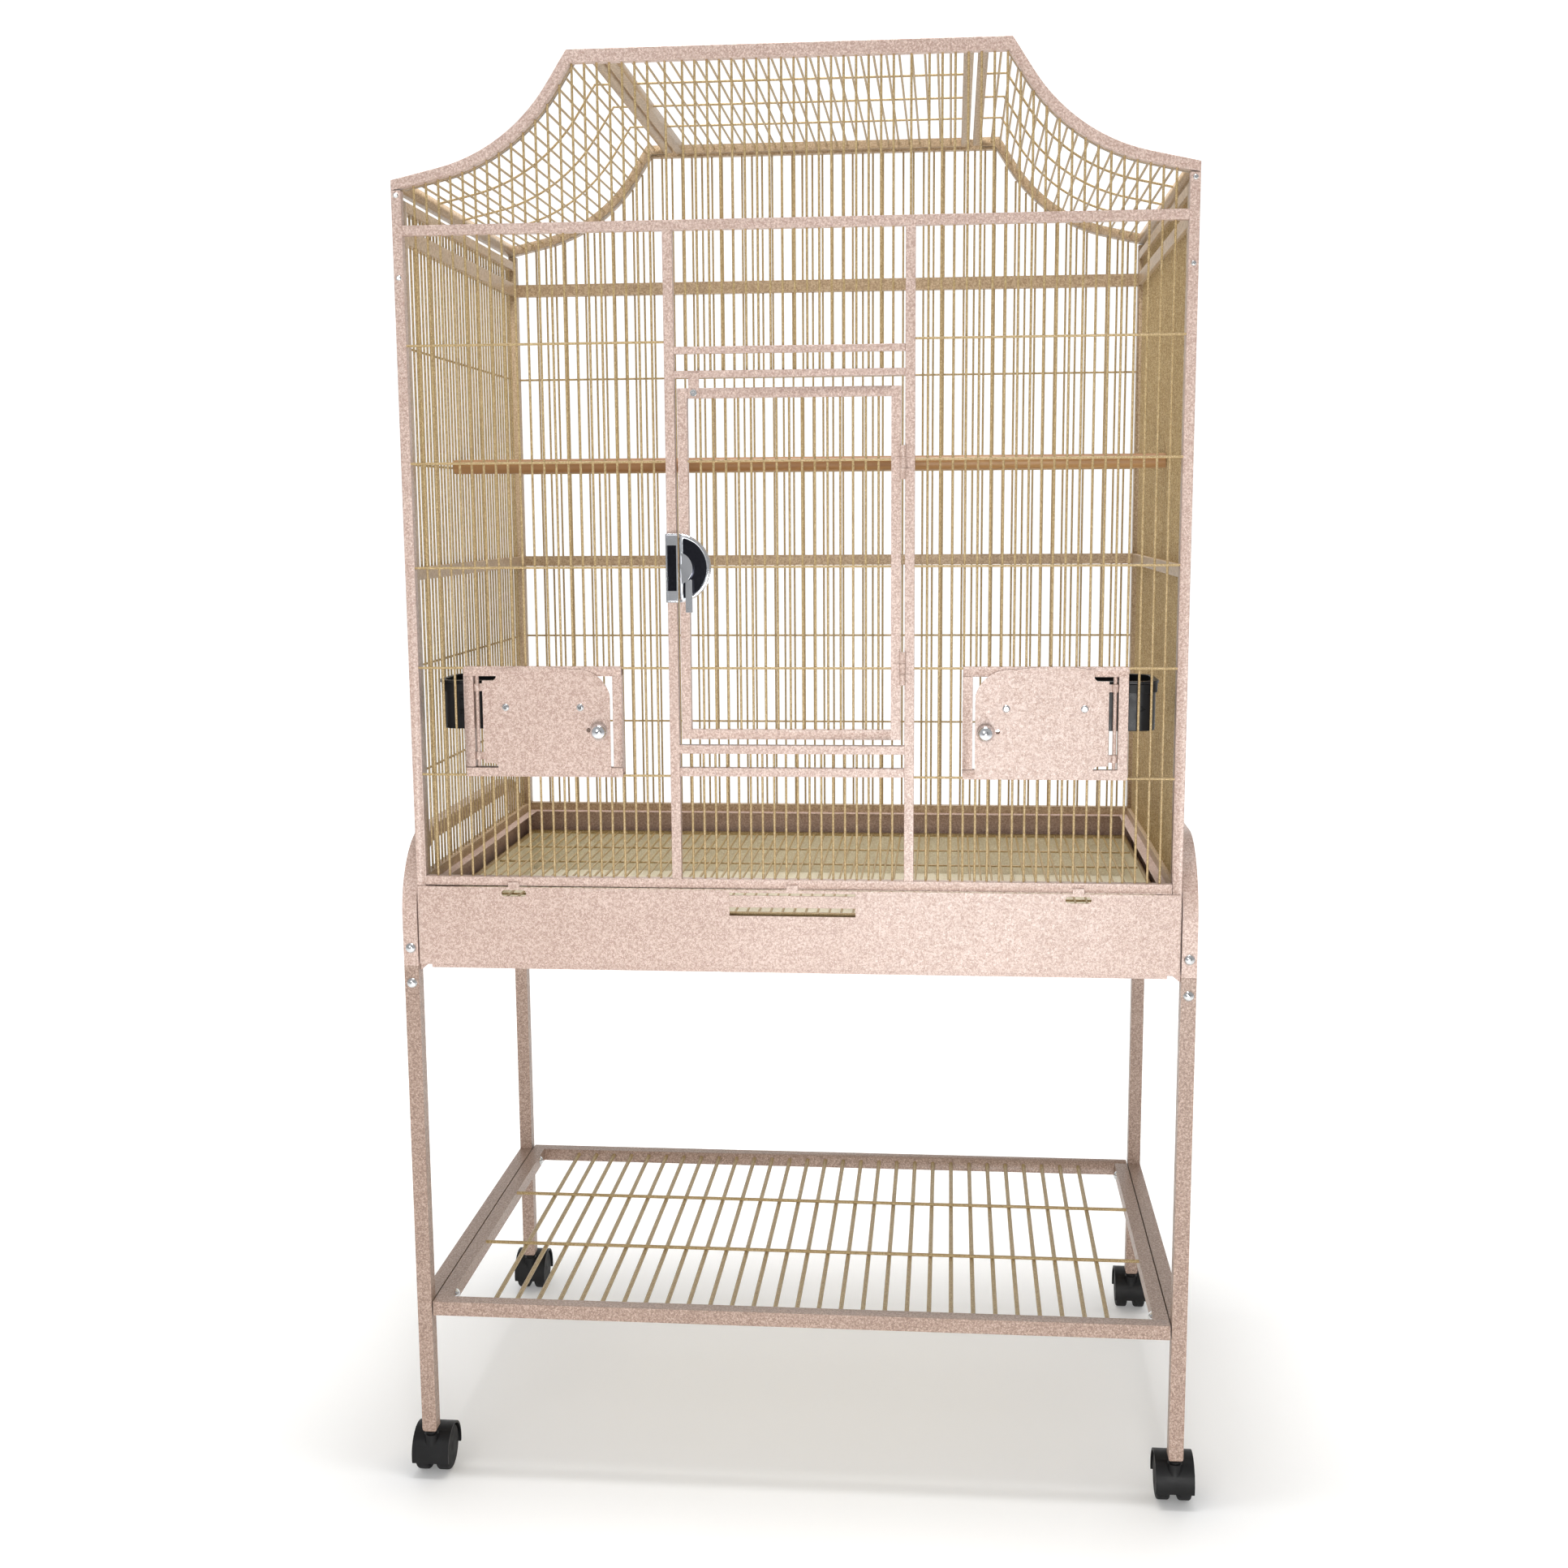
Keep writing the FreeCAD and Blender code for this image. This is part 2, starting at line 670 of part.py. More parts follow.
def roof_side_frame(side):
    """Curved roof panel: a level rail at the shoulder, one at the seam, and two curved ribs."""
    seam = side_low(side, "seam_out", "seam_out + tube")
    low = s["front_y"] + s["tube"]
    ribs = []
    for y in (low, s["back_y"] - 2 * s["tube"]):
        rib = band(s["post_x"], s["seam_out"] + s["tube"], s["tube"], y, s["tube"])
        ribs.append(mirrored(rib, side))
    pieces = [shaped([mirrored(slope_rail(low), side)] + ribs)]
    at = (seam, "front_y + 2 * tube", "roof_z - tube")
    pieces.append(tube("y", at, ("tube", "cage_d - 4 * tube", "tube")))
    name(group(pieces), f"roof_{side}_frame")


def slope_rail(y):
    """The rail at the shoulder: its top follows the roof's slope."""
    outside, inside = RoofLine(0), RoofLine(s["tube"])
    near, far = s["post_x"], s["cage_w"] / 2
    turns = [
        V(near, y, outside.height(near)),
        V(far, y, outside.height(far)),
        V(far, y, inside.height(far)),
        V(near, y, inside.height(near)),
    ]
    return Part.Face(Part.makePolygon(turns + turns[:1])).extrude(V(0, s["cage_d"] - 2 * s["tube"], 0))


def roof_side_bars(side):
    low, high = s["front_y"] + 2 * s["tube"], s["back_y"] - 2 * s["tube"]
    seam = s["seam_out"] + s["tube"]
    bars = []
    for spot in RoofLine(s["bar_in"]).spots(s["post_x"], seam, s["bar_pitch"]):
        bars.append(straight(V(spot.x, low, spot.z), V(spot.x, high, spot.z), s["wire_r"]))
    for step in (-1, 0, 1):
        bars += curved_wire(s["front_y"] + s["cage_d"] / 2 + step * s["roof_wire_gap"], seam)
    name(shaped([mirrored(bar, side) for bar in bars]), f"roof_{side}_bars")


def curved_wire(y, seam):
    """A cross wire that follows the roof outside the bars, in lengths that meet end to end."""
    line = RoofLine(s["wire_in"])
    foot_x = s["post_x"] - s["wire_r"] * math.sin(line.low)
    foot = V(foot_x, y, line.height(foot_x))
    low, high = V(line.bottom[0], y, line.bottom[1]), V(line.top[0], y, line.top[1])
    head = V(line.corner(s["wire_in"]), y, s["roof_z"] - s["wire_in"])
    half_turn = (line.high - line.low) / 2
    bends = [bent_length(line, line.low + i * half_turn, half_turn, y) for i in (0, 1)]
    knee = Part.makeSphere(s["wire_r"], head)
    flat = straight(head, V(seam, y, head.z), s["wire_r"]).fuse(knee)
    slopes = [straight(a, b, s["wire_r"]) for a, b in ((foot, low), (high, head))]
    return slopes + bends + [flat]


def bent_length(line, slope, turn, y):
    """Length of wire round part of the roof's sweep, from one slope on through a turn."""
    x, z = line.on_arc(slope)
    along = V(-math.cos(slope), 0, math.sin(slope))
    section = Part.Face(Part.Wire(Part.makeCircle(s["wire_r"], V(x, y, z), along)))
    return section.revolve(V(line.centre[0], y, line.centre[1]), V(0, 1, 0), math.degrees(turn))


# ---------------------------------------------------------------- door


def door():
    x, y = "-mullion_x + door_play", "front_y"
    tall = "door_top_z - door_bottom_z"
    stile_hole = rod("y", ("-latch_x", "front_y - 1", "latch_z"), "tube + 2", "latch_shaft_r + pin_play")
    pieces = [
        cut(tube("z", (x, y, "door_bottom_z"), ("tube", "tube", tall)), stile_hole),
        tube("z", (f"{x} + door_w - tube", y, "door_bottom_z"), ("tube", "tube", tall)),
    ]
    for z in ("door_bottom_z", "door_top_z - tube"):
        pieces.append(tube("x", (f"{x} + tube", y, z), ("door_w - 2 * tube", "tube", "tube")))
    name(group(pieces), "door_frame")
    low = "door_bottom_z + tube"
    at = (f"{x} + tube + door_bar_gap", "front_y + bar_in", low)
    bars = [bar_row(at, UPRIGHT, f"{tall} - 2 * tube", "door_bar_gap", "door_bars")]
    for z in ("wire_z2", "wire_z3", "wire_z4"):
        bars.append(rod("x", (f"{x} + tube", "front_y + wire_in", z), "door_w - 2 * tube"))
    name(group(bars), "door_bars")


def knuckle(axis_x, axis_y, low, high, bore):
    """One barrel of a hinge, with its bore."""
    r = s["hinge_r"]
    barrel = Part.makeCylinder(r, high - low, V(axis_x, axis_y, low))
    return barrel.cut(Part.makeCylinder(bore, high - low, V(axis_x, axis_y, low)))


def door_hinges():
    """Two hinges. The outer barrels and the pin stay with the mullion, the middle one turns."""
    x, y = s["hinge_x"], s["front_y"] + s["hinge_y"]
    bore = s["hinge_pin_r"] + s["pin_play"]
    third = s["hinge_h"] / 3
    fixed, turning, pins = [], [], []
    face = s["front_y"]
    for z in (s["hinge_low_z"], s["hinge_high_z"]):
        for low in (z, z + 2 * third):
            leaf = Part.makeBox(s["hinge_r"] + 7, s["leaf"], third, V(x, face - s["leaf"], low))
            fixed.append(solid_knuckle(x, y, low, low + third, s["hinge_pin_r"], leaf))
        low, high = z + third + s["plate_clear"], z + 2 * third - s["plate_clear"]
        reach = s["hinge_r"] + 7
        leaf = Part.makeBox(reach, s["leaf"], high - low, V(x - reach, face - s["leaf"], low))
        turning.append(solid_knuckle(x, y, low, high, bore, leaf))
        pins.append(Part.makeCylinder(s["hinge_pin_r"], s["hinge_h"], V(x, y, z)))
    name(shaped(fixed + pins), "door_hinge_brackets")
    name(shaped(turning), "door_hinge_leaves")


def solid_knuckle(x, y, low, high, bore, leaf):
    """A barrel and its leaf in one piece, bored for the pin."""
    barrel = Part.makeCylinder(s["hinge_r"], high - low, V(x, y, low))
    return barrel.fuse(leaf).cut(Part.makeCylinder(bore, high - low, V(x, y, low))).removeSplitter()


def latch():
    """Half-round chrome latch: keeper on the mullion, plate and turning lever on the door."""
    half, t = s["latch_h"] / 2, s["latch_plate"]
    face, z = s["front_y"], s["latch_z"]
    keeper_w = s["tube"] + s["door_play"] - 0.5
    far = -s["mullion_x"] - s["tube"] - 1
    flat = Part.makeBox(keeper_w, t, 2 * half, V(far, face - t, z - half))
    lip_d = 4
    lips = [Part.makeBox(keeper_w, lip_d, t, V(far, face - lip_d, z + e)) for e in (-half, half - t)]
    outer_lip = Part.makeBox(t, lip_d, 2 * half, V(far, face - lip_d, z - half))
    name(shaped([flat.fuse(lips + [outer_lip]).removeSplitter()]), "latch_keeper")
    straight_x = -s["mullion_x"] + s["door_play"]
    disc = half_disc(straight_x, half, s["latch_reach"], face - t, t)
    bore = Part.makeCylinder(
        s["latch_shaft_r"] + s["pin_play"], 3 * t, V(-s["latch_x"], face - 2 * t, z), V(0, 1, 0)
    )
    name(shaped([disc.cut(bore)]), "latch_plate")
    latch_lever(face - t - s["plate_clear"], z)


def half_disc(x, half, reach, y, thickness):
    """Plate with one straight side, on X = x, and one round side."""
    z = s["latch_z"]
    arc = Part.Arc(V(x, y, z + half), V(x + reach, y, z), V(x, y, z - half))
    side = Part.LineSegment(V(x, y, z - half), V(x, y, z + half))
    face = Part.Face(Part.Wire([arc.toShape(), side.toShape()]))
    return face.extrude(V(0, thickness, 0))


def latch_lever(y, z):
    """Turning part of the latch: half-round cam, thumb tip, shaft through the stile, and catch.

    At rest the catch hangs straight down behind the stile. A quarter turn puts it behind the
    mullion.
    """
    x, thick = -s["latch_x"], 6
    r = 16
    start = x - 2
    arc = Part.Arc(V(start, y, z + r), V(start + 0.72 * r, y, z), V(start, y, z - r))
    side = Part.LineSegment(V(start, y, z - r), V(start, y, z + r))
    cam = Part.Face(Part.Wire([arc.toShape(), side.toShape()])).extrude(V(0, -thick, 0))
    tip_z = z - s["latch_h"] / 2 - s["latch_drop"]
    tip = Part.makeBox(7, 3, z - r + 4 - tip_z, V(x + 2, y - thick, tip_z))
    back = s["front_y"] + s["tube"] + s["plate_clear"]
    shaft = Part.makeCylinder(s["latch_shaft_r"], back + 2.5 - y, V(x, y, z), V(0, 1, 0))
    catch = Part.makeBox(8, 2.5, s["catch_len"] + 4, V(x - 4, back, z - s["catch_len"]))
    name(shaped([cam.fuse([tip, shaft, catch]).removeSplitter()]), "latch_lever")


def turn_button():
    """Small plate on a screw in the door's top rail: it laps the rail above the door."""
    t = s["button_t"]
    y = s["front_y"] - s["plate_clear"] - t
    low = s["door_top_z"] - s["tube"] + 1
    screw_z = s["door_top_z"] - s["tube"] / 2
    block = Part.makeBox(s["button_w"], t, s["button_h"], V(-s["button_x"] - s["button_w"] / 2, y, low))
    hole = Part.makeCylinder(2 + s["pin_play"], 2 * t, V(-s["button_x"], y - t / 2, screw_z), V(0, 1, 0))
    name(shaped([block.cut(hole)]), "turn_button")
    head = Part.makeCylinder(3.5, 2, V(-s["button_x"], y - 2 - 0.2, screw_z), V(0, 1, 0))
    shank = Part.makeCylinder(2, t + s["plate_clear"] + 0.2, V(-s["button_x"], y - 0.2, screw_z), V(0, 1, 0))
    name(shaped([head.fuse(shank)]), "turn_button_screw")


# ---------------------------------------------------------------- feeder doors


def feeder_plate(side):
    """Door plate with an arched top, and the two hinge eyes that turn on the frame's pins."""
    y = s["front_y"] - s["plate_y"]
    far = s["feeder_pin_x"] - s["eye_strap"]
    near = far - s["plate_w"]
    low = s["feeder_z"] + s["plate_lap"]
    top = s["feeder_z"] + s["feeder_h"]
    crown_z, side_z = top - 3, top - s["plate_arch"]
    inner_foot, inner_head = V(near, y, side_z - 16), V(near + s["plate_corner"], y, crown_z)
    inner = Part.Arc(inner_foot, V(near + 10, y, top - 12.5), inner_head)
    notch_x, tip_z = far - s["notch_w"], top - s["tube"] - s["notch_h"]
    outer_head = V(notch_x, y, crown_z)
    crown = Part.Arc(inner_head, V((near + notch_x) / 2 + 8, y, top), outer_head)
    foot_z = s["feeder_z"] + s["tube"] + s["notch_h"]
    turns = [outer_head, V(notch_x, y, tip_z + 3), V(notch_x + 3, y, tip_z), V(far, y, tip_z)]
    turns += [V(far, y, foot_z), V(notch_x + 3, y, foot_z), V(notch_x, y, foot_z - 3)]
    turns += [V(notch_x, y, low), V(near, y, low), inner_foot]
    lines = [Part.LineSegment(a, b) for a, b in zip(turns, turns[1:])]
    wire = Part.Wire(Part.__sortEdges__([e.toShape() for e in [inner, crown] + lines]))
    sheet_metal = Part.Face(wire).extrude(V(0, s["plate_t"], 0))
    hole_r = 2.4
    holes = [through(s["knob_x"], s["knob_z"], y, s["latch_shaft_r"] + s["pin_play"])]
    holes.append(through(s["knob_x"] + 12.5, s["knob_z"] + 1, y, hole_r))
    sheet_metal = sheet_metal.cut(holes)
    eyes = [hinge_eye(z, y) for z in eye_levels()]
    solid = sheet_metal.fuse(eyes).removeSplitter()
    name(shaped([mirrored(solid, side)]), f"feeder_door_{side}")


def through(x, z, y, radius):
    """A hole drilled through a plate that faces the front."""
    return Part.makeCylinder(radius, 3 * s["plate_t"], V(x, y - s["plate_t"], z), V(0, 1, 0))


def eye_levels():
    """Z of the lower end of each hinge eye."""
    inner_low = s["feeder_z"] + s["tube"]
    inner_high = s["feeder_z"] + s["feeder_h"] - s["tube"]
    return (inner_low + s["eye_h"], inner_high - 2 * s["eye_h"])


def feeder_pin_y():
    return s["front_y"] + s["feeder_pin_r"] + 1.5


def hinge_eye(z, plate_y):
    """A barrel round the pin, and the bent strap that joins it to the back of the plate."""
    x, y, tall, strap = s["feeder_pin_x"], feeder_pin_y(), s["eye_h"], s["plate_t"]
    bore = s["feeder_pin_r"] + s["pin_play"]
    barrel = Part.makeCylinder(bore + s["eye_wall"], tall, V(x, y, z))
    far = x - s["eye_strap"] - strap
    arm = Part.makeBox(x - far, strap, tall, V(far, y - strap / 2, z))
    web = Part.makeBox(strap, y + strap / 2 - plate_y, tall, V(far, plate_y, z))
    return barrel.fuse([arm, web]).cut(Part.makeCylinder(bore, tall, V(x, y, z)))


def feeder_pins():
    """The hinge pins of both feeder doors, welded between the frames' top and bottom tubes."""
    low = s["feeder_z"] + s["tube"]
    tall = s["feeder_h"] - 2 * s["tube"]
    at = V(s["feeder_pin_x"], feeder_pin_y(), low)
    pin = Part.makeCylinder(s["feeder_pin_r"], tall, at)
    return shaped([mirrored(pin, side) for side in ("left", "right")])


def rounded_block(x, y, w, d, corner, low, height):
    """Upright block with a rounded plan, centred on x and y."""
    block = Part.makeBox(w, d, height, V(x - w / 2, y - d / 2, low))
    upright = [e for e in block.Edges if abs(e.tangentAt(e.FirstParameter).z) > 0.9]
    return block.makeFillet(corner, upright)


def feed_cup(side):
    """Plastic cup: an open box with rounded corners and a lip that hangs on the ring."""
    x, y = s["cup_mid_x"], s["front_y"] + s["cup_mid_y"]
    wall, lip, height = s["cup_wall"], s["cup_lip"], s["cup_h"]
    low = s["cup_top_z"] - height
    body = rounded_block(x, y, s["cup_w"], s["cup_d"], s["cup_corner"], low, height)
    rim_z = s["cup_top_z"] - lip
    rim = rounded_block(x, y, s["cup_w"] + 2 * lip, s["cup_d"] + 2 * lip, s["cup_corner"] + lip, rim_z, lip)
    inside = (s["cup_w"] - 2 * wall, s["cup_d"] - 2 * wall, s["cup_corner"] - wall)
    hollow = rounded_block(x, y, *inside, low + wall, height)
    name(shaped([mirrored(body.fuse(rim).cut(hollow), side)]), f"feed_cup_{side}")


def cup_ring(side):
    """Steel band that carries the cup, its bracket, and the two rivets through the door plate."""
    x, y = s["cup_mid_x"], s["front_y"] + s["cup_mid_y"]
    play, t = s["ring_play"], s["ring_t"]
    top = s["cup_top_z"] - s["cup_lip"] - play
    low = top - s["ring_h"]
    inside = (s["cup_w"] + 2 * play, s["cup_d"] + 2 * play, s["cup_corner"] + play)
    outside = (inside[0] + 2 * t, inside[1] + 2 * t, inside[2] + t)
    ring = rounded_block(x, y, *outside, low, s["ring_h"])
    ring = ring.cut(rounded_block(x, y, *inside, low - 1, s["ring_h"] + 2))
    plate_back = s["front_y"] - s["plate_clear"]
    ring_front = y - outside[1] / 2
    rivet_z = s["feeder_z"] + 74
    rivets = (s["feeder_x"] - 40, s["feeder_x"] + 40)
    near = rivets[0] - 9
    wide = rivets[1] + 9 - near
    tab = Part.makeBox(wide, t, top - rivet_z + 10, V(near, plate_back, rivet_z - 10))
    shelf_x = x - s["cup_w"] / 2 + s["cup_corner"]
    shelf = Part.makeBox(rivets[1] + 9 - shelf_x, ring_front + t - plate_back, t, V(shelf_x, plate_back, low))
    bracket = ring.fuse([tab, shelf]).removeSplitter()
    heads = []
    for rivet_x in rivets:
        at = V(rivet_x, s["front_y"] - s["plate_y"] - 1.6, rivet_z)
        heads.append(Part.makeCone(2.4, 4.2, 1.6, at, V(0, 1, 0)))
    name(shaped([mirrored(solid, side) for solid in [bracket] + heads]), f"cup_ring_{side}")


def feeder_knob(side):
    """Round knob with a shaft through the plate and a finger behind it.

    At rest the finger points away from the frame. Half a turn puts it behind the frame's tube.
    """
    x, z = s["knob_x"], s["knob_z"]
    face = s["front_y"] - s["plate_y"]
    neck, reach = 3, s["knob_reach"]
    ball = Part.makeSphere(s["knob_r"], V(x, face - reach + s["knob_r"], z))
    keep = Part.makeBox(4 * s["knob_r"], reach - neck, 4 * s["knob_r"])
    keep.translate(V(x - 2 * s["knob_r"], face - reach, z - 2 * s["knob_r"]))
    head = ball.common(keep)
    collar = Part.makeCylinder(5, neck, V(x, face - neck, z), V(0, 1, 0))
    finger_y = s["front_y"] + s["tube"] + s["plate_clear"]
    shaft = Part.makeCylinder(s["latch_shaft_r"], finger_y + 2 - face, V(x, face, z), V(0, 1, 0))
    finger = Part.makeBox(s["finger_len"] + 4, 2, 8, V(x - 4, finger_y, z - 4))
    knob = head.fuse([collar, shaft, finger]).removeSplitter()
    name(shaped([mirrored(knob, side)]), f"feeder_knob_{side}")


def perch():
    """Wooden perch that spans the cage from side to side."""
    inner = "post_x + bar_in - wire_r"
    at = (f"-({inner})", "front_y + perch_y", "perch_z")
    name(rod("x", at, f"2 * ({inner})", "perch_r"), "perch")


# ---------------------------------------------------------------- base and drawer


def base_housing():
    """Sheet-metal surround: side walls, back wall, flanges, and a cross bar under the drawer."""
    wide, deep = "cage_w - 2 * sheet", "cage_d"
    left, right = "-cage_w / 2", "cage_w / 2 - sheet"
    flange_at = {"left": "-cage_w / 2", "right": "cage_w / 2 - flange"}
    pieces = []
    for x in (left, right):
        pieces.append(box((x, "front_y", "base_z"), ("sheet", deep, "base_h")))
    pieces.append(box((f"{left} + sheet", "back_y - sheet", "base_z"), (wide, "sheet", "base_h")))
    for z in ("base_z", "cage_bottom_z - sheet"):
        for x in flange_at.values():
            pieces.append(box((x, "front_y", z), ("flange", deep, "sheet")))
        pieces.append(box((left, "back_y - flange", z), ("cage_w", "flange", "sheet")))
    sill_w = "cage_w - 2 * front_gusset - 4"
    at = ("front_gusset + 2 - cage_w / 2", "front_y + 2", "base_z - drawer_sill")
    pieces.append(box(at, (sill_w, "flange", "drawer_sill + sheet")))
    strip = box((left, "front_y + 2", "base_z"), ("cage_w", "flange", "sheet"))
    name(fuse(pieces + [strip]), "base_housing")


def drawer_front():
    """Front sheet of the drawer, with the finger cut-out, two slots, and three tabs on top."""
    y = "front_y - front_clear - sheet"
    low, tall = "base_z + front_play", "base_h - 2 * front_play"
    top = "cage_bottom_z - front_play"
    width = "cage_w - 2 * front_play"
    pieces = [box((f"-({width}) / 2", y, low), (width, "sheet", tall))]
    for middle in ("-tab_x", "0", "tab_x"):
        at = (f"({middle}) - tab_w / 2", y, f"{top} - sheet")
        pieces.append(box(at, ("tab_w", "sheet", "tab_h + sheet")))
    fold = "20 + sheet"
    back = box((f"-({width}) / 2 + 20", y, "tray_z - sheet"), (f"{width} - 40", fold, "sheet"))
    grip_at = ("-grip_w / 2", f"{y} - 1", f"{top} - grip_drop - grip_h")
    holes = [box(grip_at, ("grip_w", "sheet + 2", "grip_h"))]
    for middle in ("-tab_x", "tab_x"):
        low_z, flat = f"{top} - grip_drop - slot_h", "(slot_w - slot_h)"
        holes.append(box((f"{middle} - {flat} / 2", f"{y} - 1", low_z), (flat, "sheet + 2", "slot_h")))
        for end in (f"{middle} - {flat} / 2", f"{middle} + {flat} / 2"):
            at = (end, f"{y} - 1", f"{low_z} + slot_h / 2")
            holes.append(rod("y", at, "sheet + 2", "slot_h / 2"))
    name(cut(fuse(pieces + [back]), fuse(holes)), "drawer_front")


def drawer_grip():
    """Strip behind the upper half of the finger cut-out, held by two rivets."""
    y = "front_y - front_clear"
    top = "cage_bottom_z - front_play - grip_drop"
    lap = 9
    at = (f"-grip_w / 2 - {lap}", y, f"{top} - strip_h - 3")
    pieces = [box(at, (f"grip_w + {2 * lap}", "sheet", "strip_h"))]
    for middle in (-52, 52):
        pieces.append(rod("y", (str(middle), f"{y} - 1", f"{top} - strip_h / 2 - 3"), "1", "2.6"))
    name(group(pieces), "drawer_grip")


def tray():
    """Pull-out tray: an open box of sheet."""
    x, y = "-grille_w / 2", "front_y + tray_inset"
    deep = "cage_d - 2 * tray_inset"
    outer = box((x, y, "tray_z"), ("grille_w", deep, "tray_h"))
    inner_at = (f"{x} + sheet", f"{y} + sheet", "tray_z + sheet")
    inner = box(inner_at, ("grille_w - 2 * sheet", f"{deep} - 2 * sheet", "tray_h"))
    runners = []
    for low_x in ("-grille_w / 2", "grille_w / 2 - runner_w"):
        at = (low_x, f"{y} + 20", "base_z + sheet + plate_clear")
        runners.append(box(at, ("runner_w", f"{deep} - 20", "tray_z - base_z - sheet - plate_clear")))
    name(fuse([cut(outer, inner)] + runners), "tray")


def floor_grille():
    """Wire floor that lies on the tray's rim: four heavy rods round it, bars and cross wires."""
    z, r = "grille_z", "grille_rod_r"
    near, far = "front_y + tray_inset + grille_rod_r", "back_y - tray_inset - grille_rod_r"
    deep = "cage_d - 2 * tray_inset - 2 * grille_rod_r"
    wide = "grille_w"
    pieces = [rod("x", ("-grille_w / 2", y, z), wide, r) for y in (near, far)]
    inner_y, inner_d = f"{near} + grille_rod_r", f"{deep} - 2 * grille_rod_r"
    for x in ("-grille_w / 2 + grille_rod_r", "grille_w / 2 - grille_rod_r"):
        pieces.append(rod("y", (x, inner_y, z), inner_d, r))
    first = "-grille_w / 2 + 2 * grille_rod_r + grille_gap"
    at = (first, inner_y, z)
    pieces.append(bar_row(at, LYING_ALONG_Y, inner_d, "grille_gap", "grille_bars"))
    for share in (0.2, 0.4, 0.6, 0.8):
        at = ("-grille_w / 2 + 2 * grille_rod_r", f"{inner_y} + {share} * ({inner_d})", f"{z} - 2 * wire_r")
        pieces.append(rod("x", at, "grille_w - 4 * grille_rod_r"))
    name(group(pieces), "floor_grille")


# ---------------------------------------------------------------- stand


CORNERS = [(side, end) for end in ("front", "back") for side in ("left", "right")]


def leg_centre(side, end):
    """X and Y of a leg's axis."""
    x = s["leg_x"] + s["leg"] / 2
    y = s["front_y"] + s["leg"] / 2 if end == "front" else s["back_y"] - s["leg"] / 2
    return (x if side == "right" else -x), y


def splice_holes(side, end, reach):
    """Drills for the two splice bolts of a leg, front to back."""
    x, y = leg_centre(side, end)
    drills = []
    for step in (-1, 1):
        at = V(x, y - reach, s["splice_z"] + step * s["bolt_step"])
        drills.append(Part.makeCylinder(s["bolt_r"], 2 * reach, at, V(0, 1, 0)))
    return drills


def arch_face(inset):
    """Outline of a side arch in the YZ plane, its tube narrowed by inset on every side."""
    half_d = s["cage_d"] / 2
    mid = s["front_y"] + half_d
    low, top = s["splice_z"], s["arch_z"] - inset
    outer_y, inner_y = half_d - inset, half_d - s["leg"] + inset
    inner_top = s["arch_z"] - s["leg"] + inset
    outer_r, inner_r = s["arch_bend"] - inset, s["arch_bend"] - s["leg"] + inset

    def hoop(reach, crest, radius):
        bend = radius * (1 - math.sqrt(0.5))
        left, right = mid - reach, mid + reach
        first = Part.Arc(
            V(0, left, crest - radius), V(0, left + bend, crest - bend), V(0, left + radius, crest)
        )
        second = Part.Arc(
            V(0, right - radius, crest), V(0, right - bend, crest - bend), V(0, right, crest - radius)
        )
        return [
            Part.LineSegment(V(0, left, low), V(0, left, crest - radius)),
            first,
            Part.LineSegment(V(0, left + radius, crest), V(0, right - radius, crest)),
            second,
            Part.LineSegment(V(0, right, crest - radius), V(0, right, low)),
        ]

    outside, inside = hoop(outer_y, top, outer_r), hoop(inner_y, inner_top, inner_r)
    feet = [
        Part.LineSegment(outside[0].StartPoint, inside[0].StartPoint),
        Part.LineSegment(outside[-1].EndPoint, inside[-1].EndPoint),
    ]
    edges = [e.toShape() for e in outside + inside + feet]
    return Part.Face(Part.Wire(Part.__sortEdges__(edges)))


def stand_arch(side):
    """Side arch: one square tube, up from the front splice, over, and down to the back one."""
    leg, wall = s["leg"], s["leg_wall"]
    outer = arch_face(0).extrude(V(leg, 0, 0))
    inner = arch_face(wall).extrude(V(leg - 2 * wall, 0, 0))
    inner.translate(V(wall, 0, 0))
    arch = outer.cut(inner)
    arch.translate(V(s["leg_x"], 0, 0))
    arch = mirrored(arch, side)
    drills = []
    for end in ("front", "back"):
        drills += splice_holes(side, end, leg)
    name(shaped([arch.cut(drills)]), f"stand_arch_{side}")


def stand_leg(side, end):
    """Straight leg: square tube from the caster to the splice, with a bar that enters the arch."""
    x, y = leg_centre(side, end)
    leg, wall = s["leg"], s["leg_wall"]
    low, tall = s["leg_bottom_z"], s["splice_z"] - s["leg_bottom_z"]
    inside = leg - 2 * wall
    outer = Part.makeBox(leg, leg, tall, V(x - leg / 2, y - leg / 2, low))
    inner = Part.makeBox(inside, inside, tall, V(x - inside / 2, y - inside / 2, low))
    half_len, bar_w = s["splice_len"] / 2, inside - 2 * s["splice_play"]
    corner = V(x - inside / 2, y - inside / 2, s["splice_z"] - half_len)
    lower = Part.makeBox(inside, inside, half_len, corner)
    upper = Part.makeBox(bar_w, bar_w, half_len, V(x - bar_w / 2, y - bar_w / 2, s["splice_z"]))
    whole = outer.cut(inner).fuse([lower, upper]).cut(splice_holes(side, end, leg))
    name(shaped([whole.removeSplitter()]), f"leg_{end}_{side}")


def bolt(at, along, length):
    """Dome-headed bolt: its head stands on the face at `at`, its shank runs along."""
    along = V(*along)
    dome_r = (s["bolt_head_r"] ** 2 + s["bolt_head"] ** 2) / (2 * s["bolt_head"])
    ball = Part.makeSphere(dome_r, at + along * (dome_r - s["bolt_head"]))
    keep = Part.makeCylinder(s["bolt_head_r"], s["bolt_head"], at, along * -1)
    shank = Part.makeCylinder(s["bolt_r"], length, at, along)
    return ball.common(keep).fuse(shank)


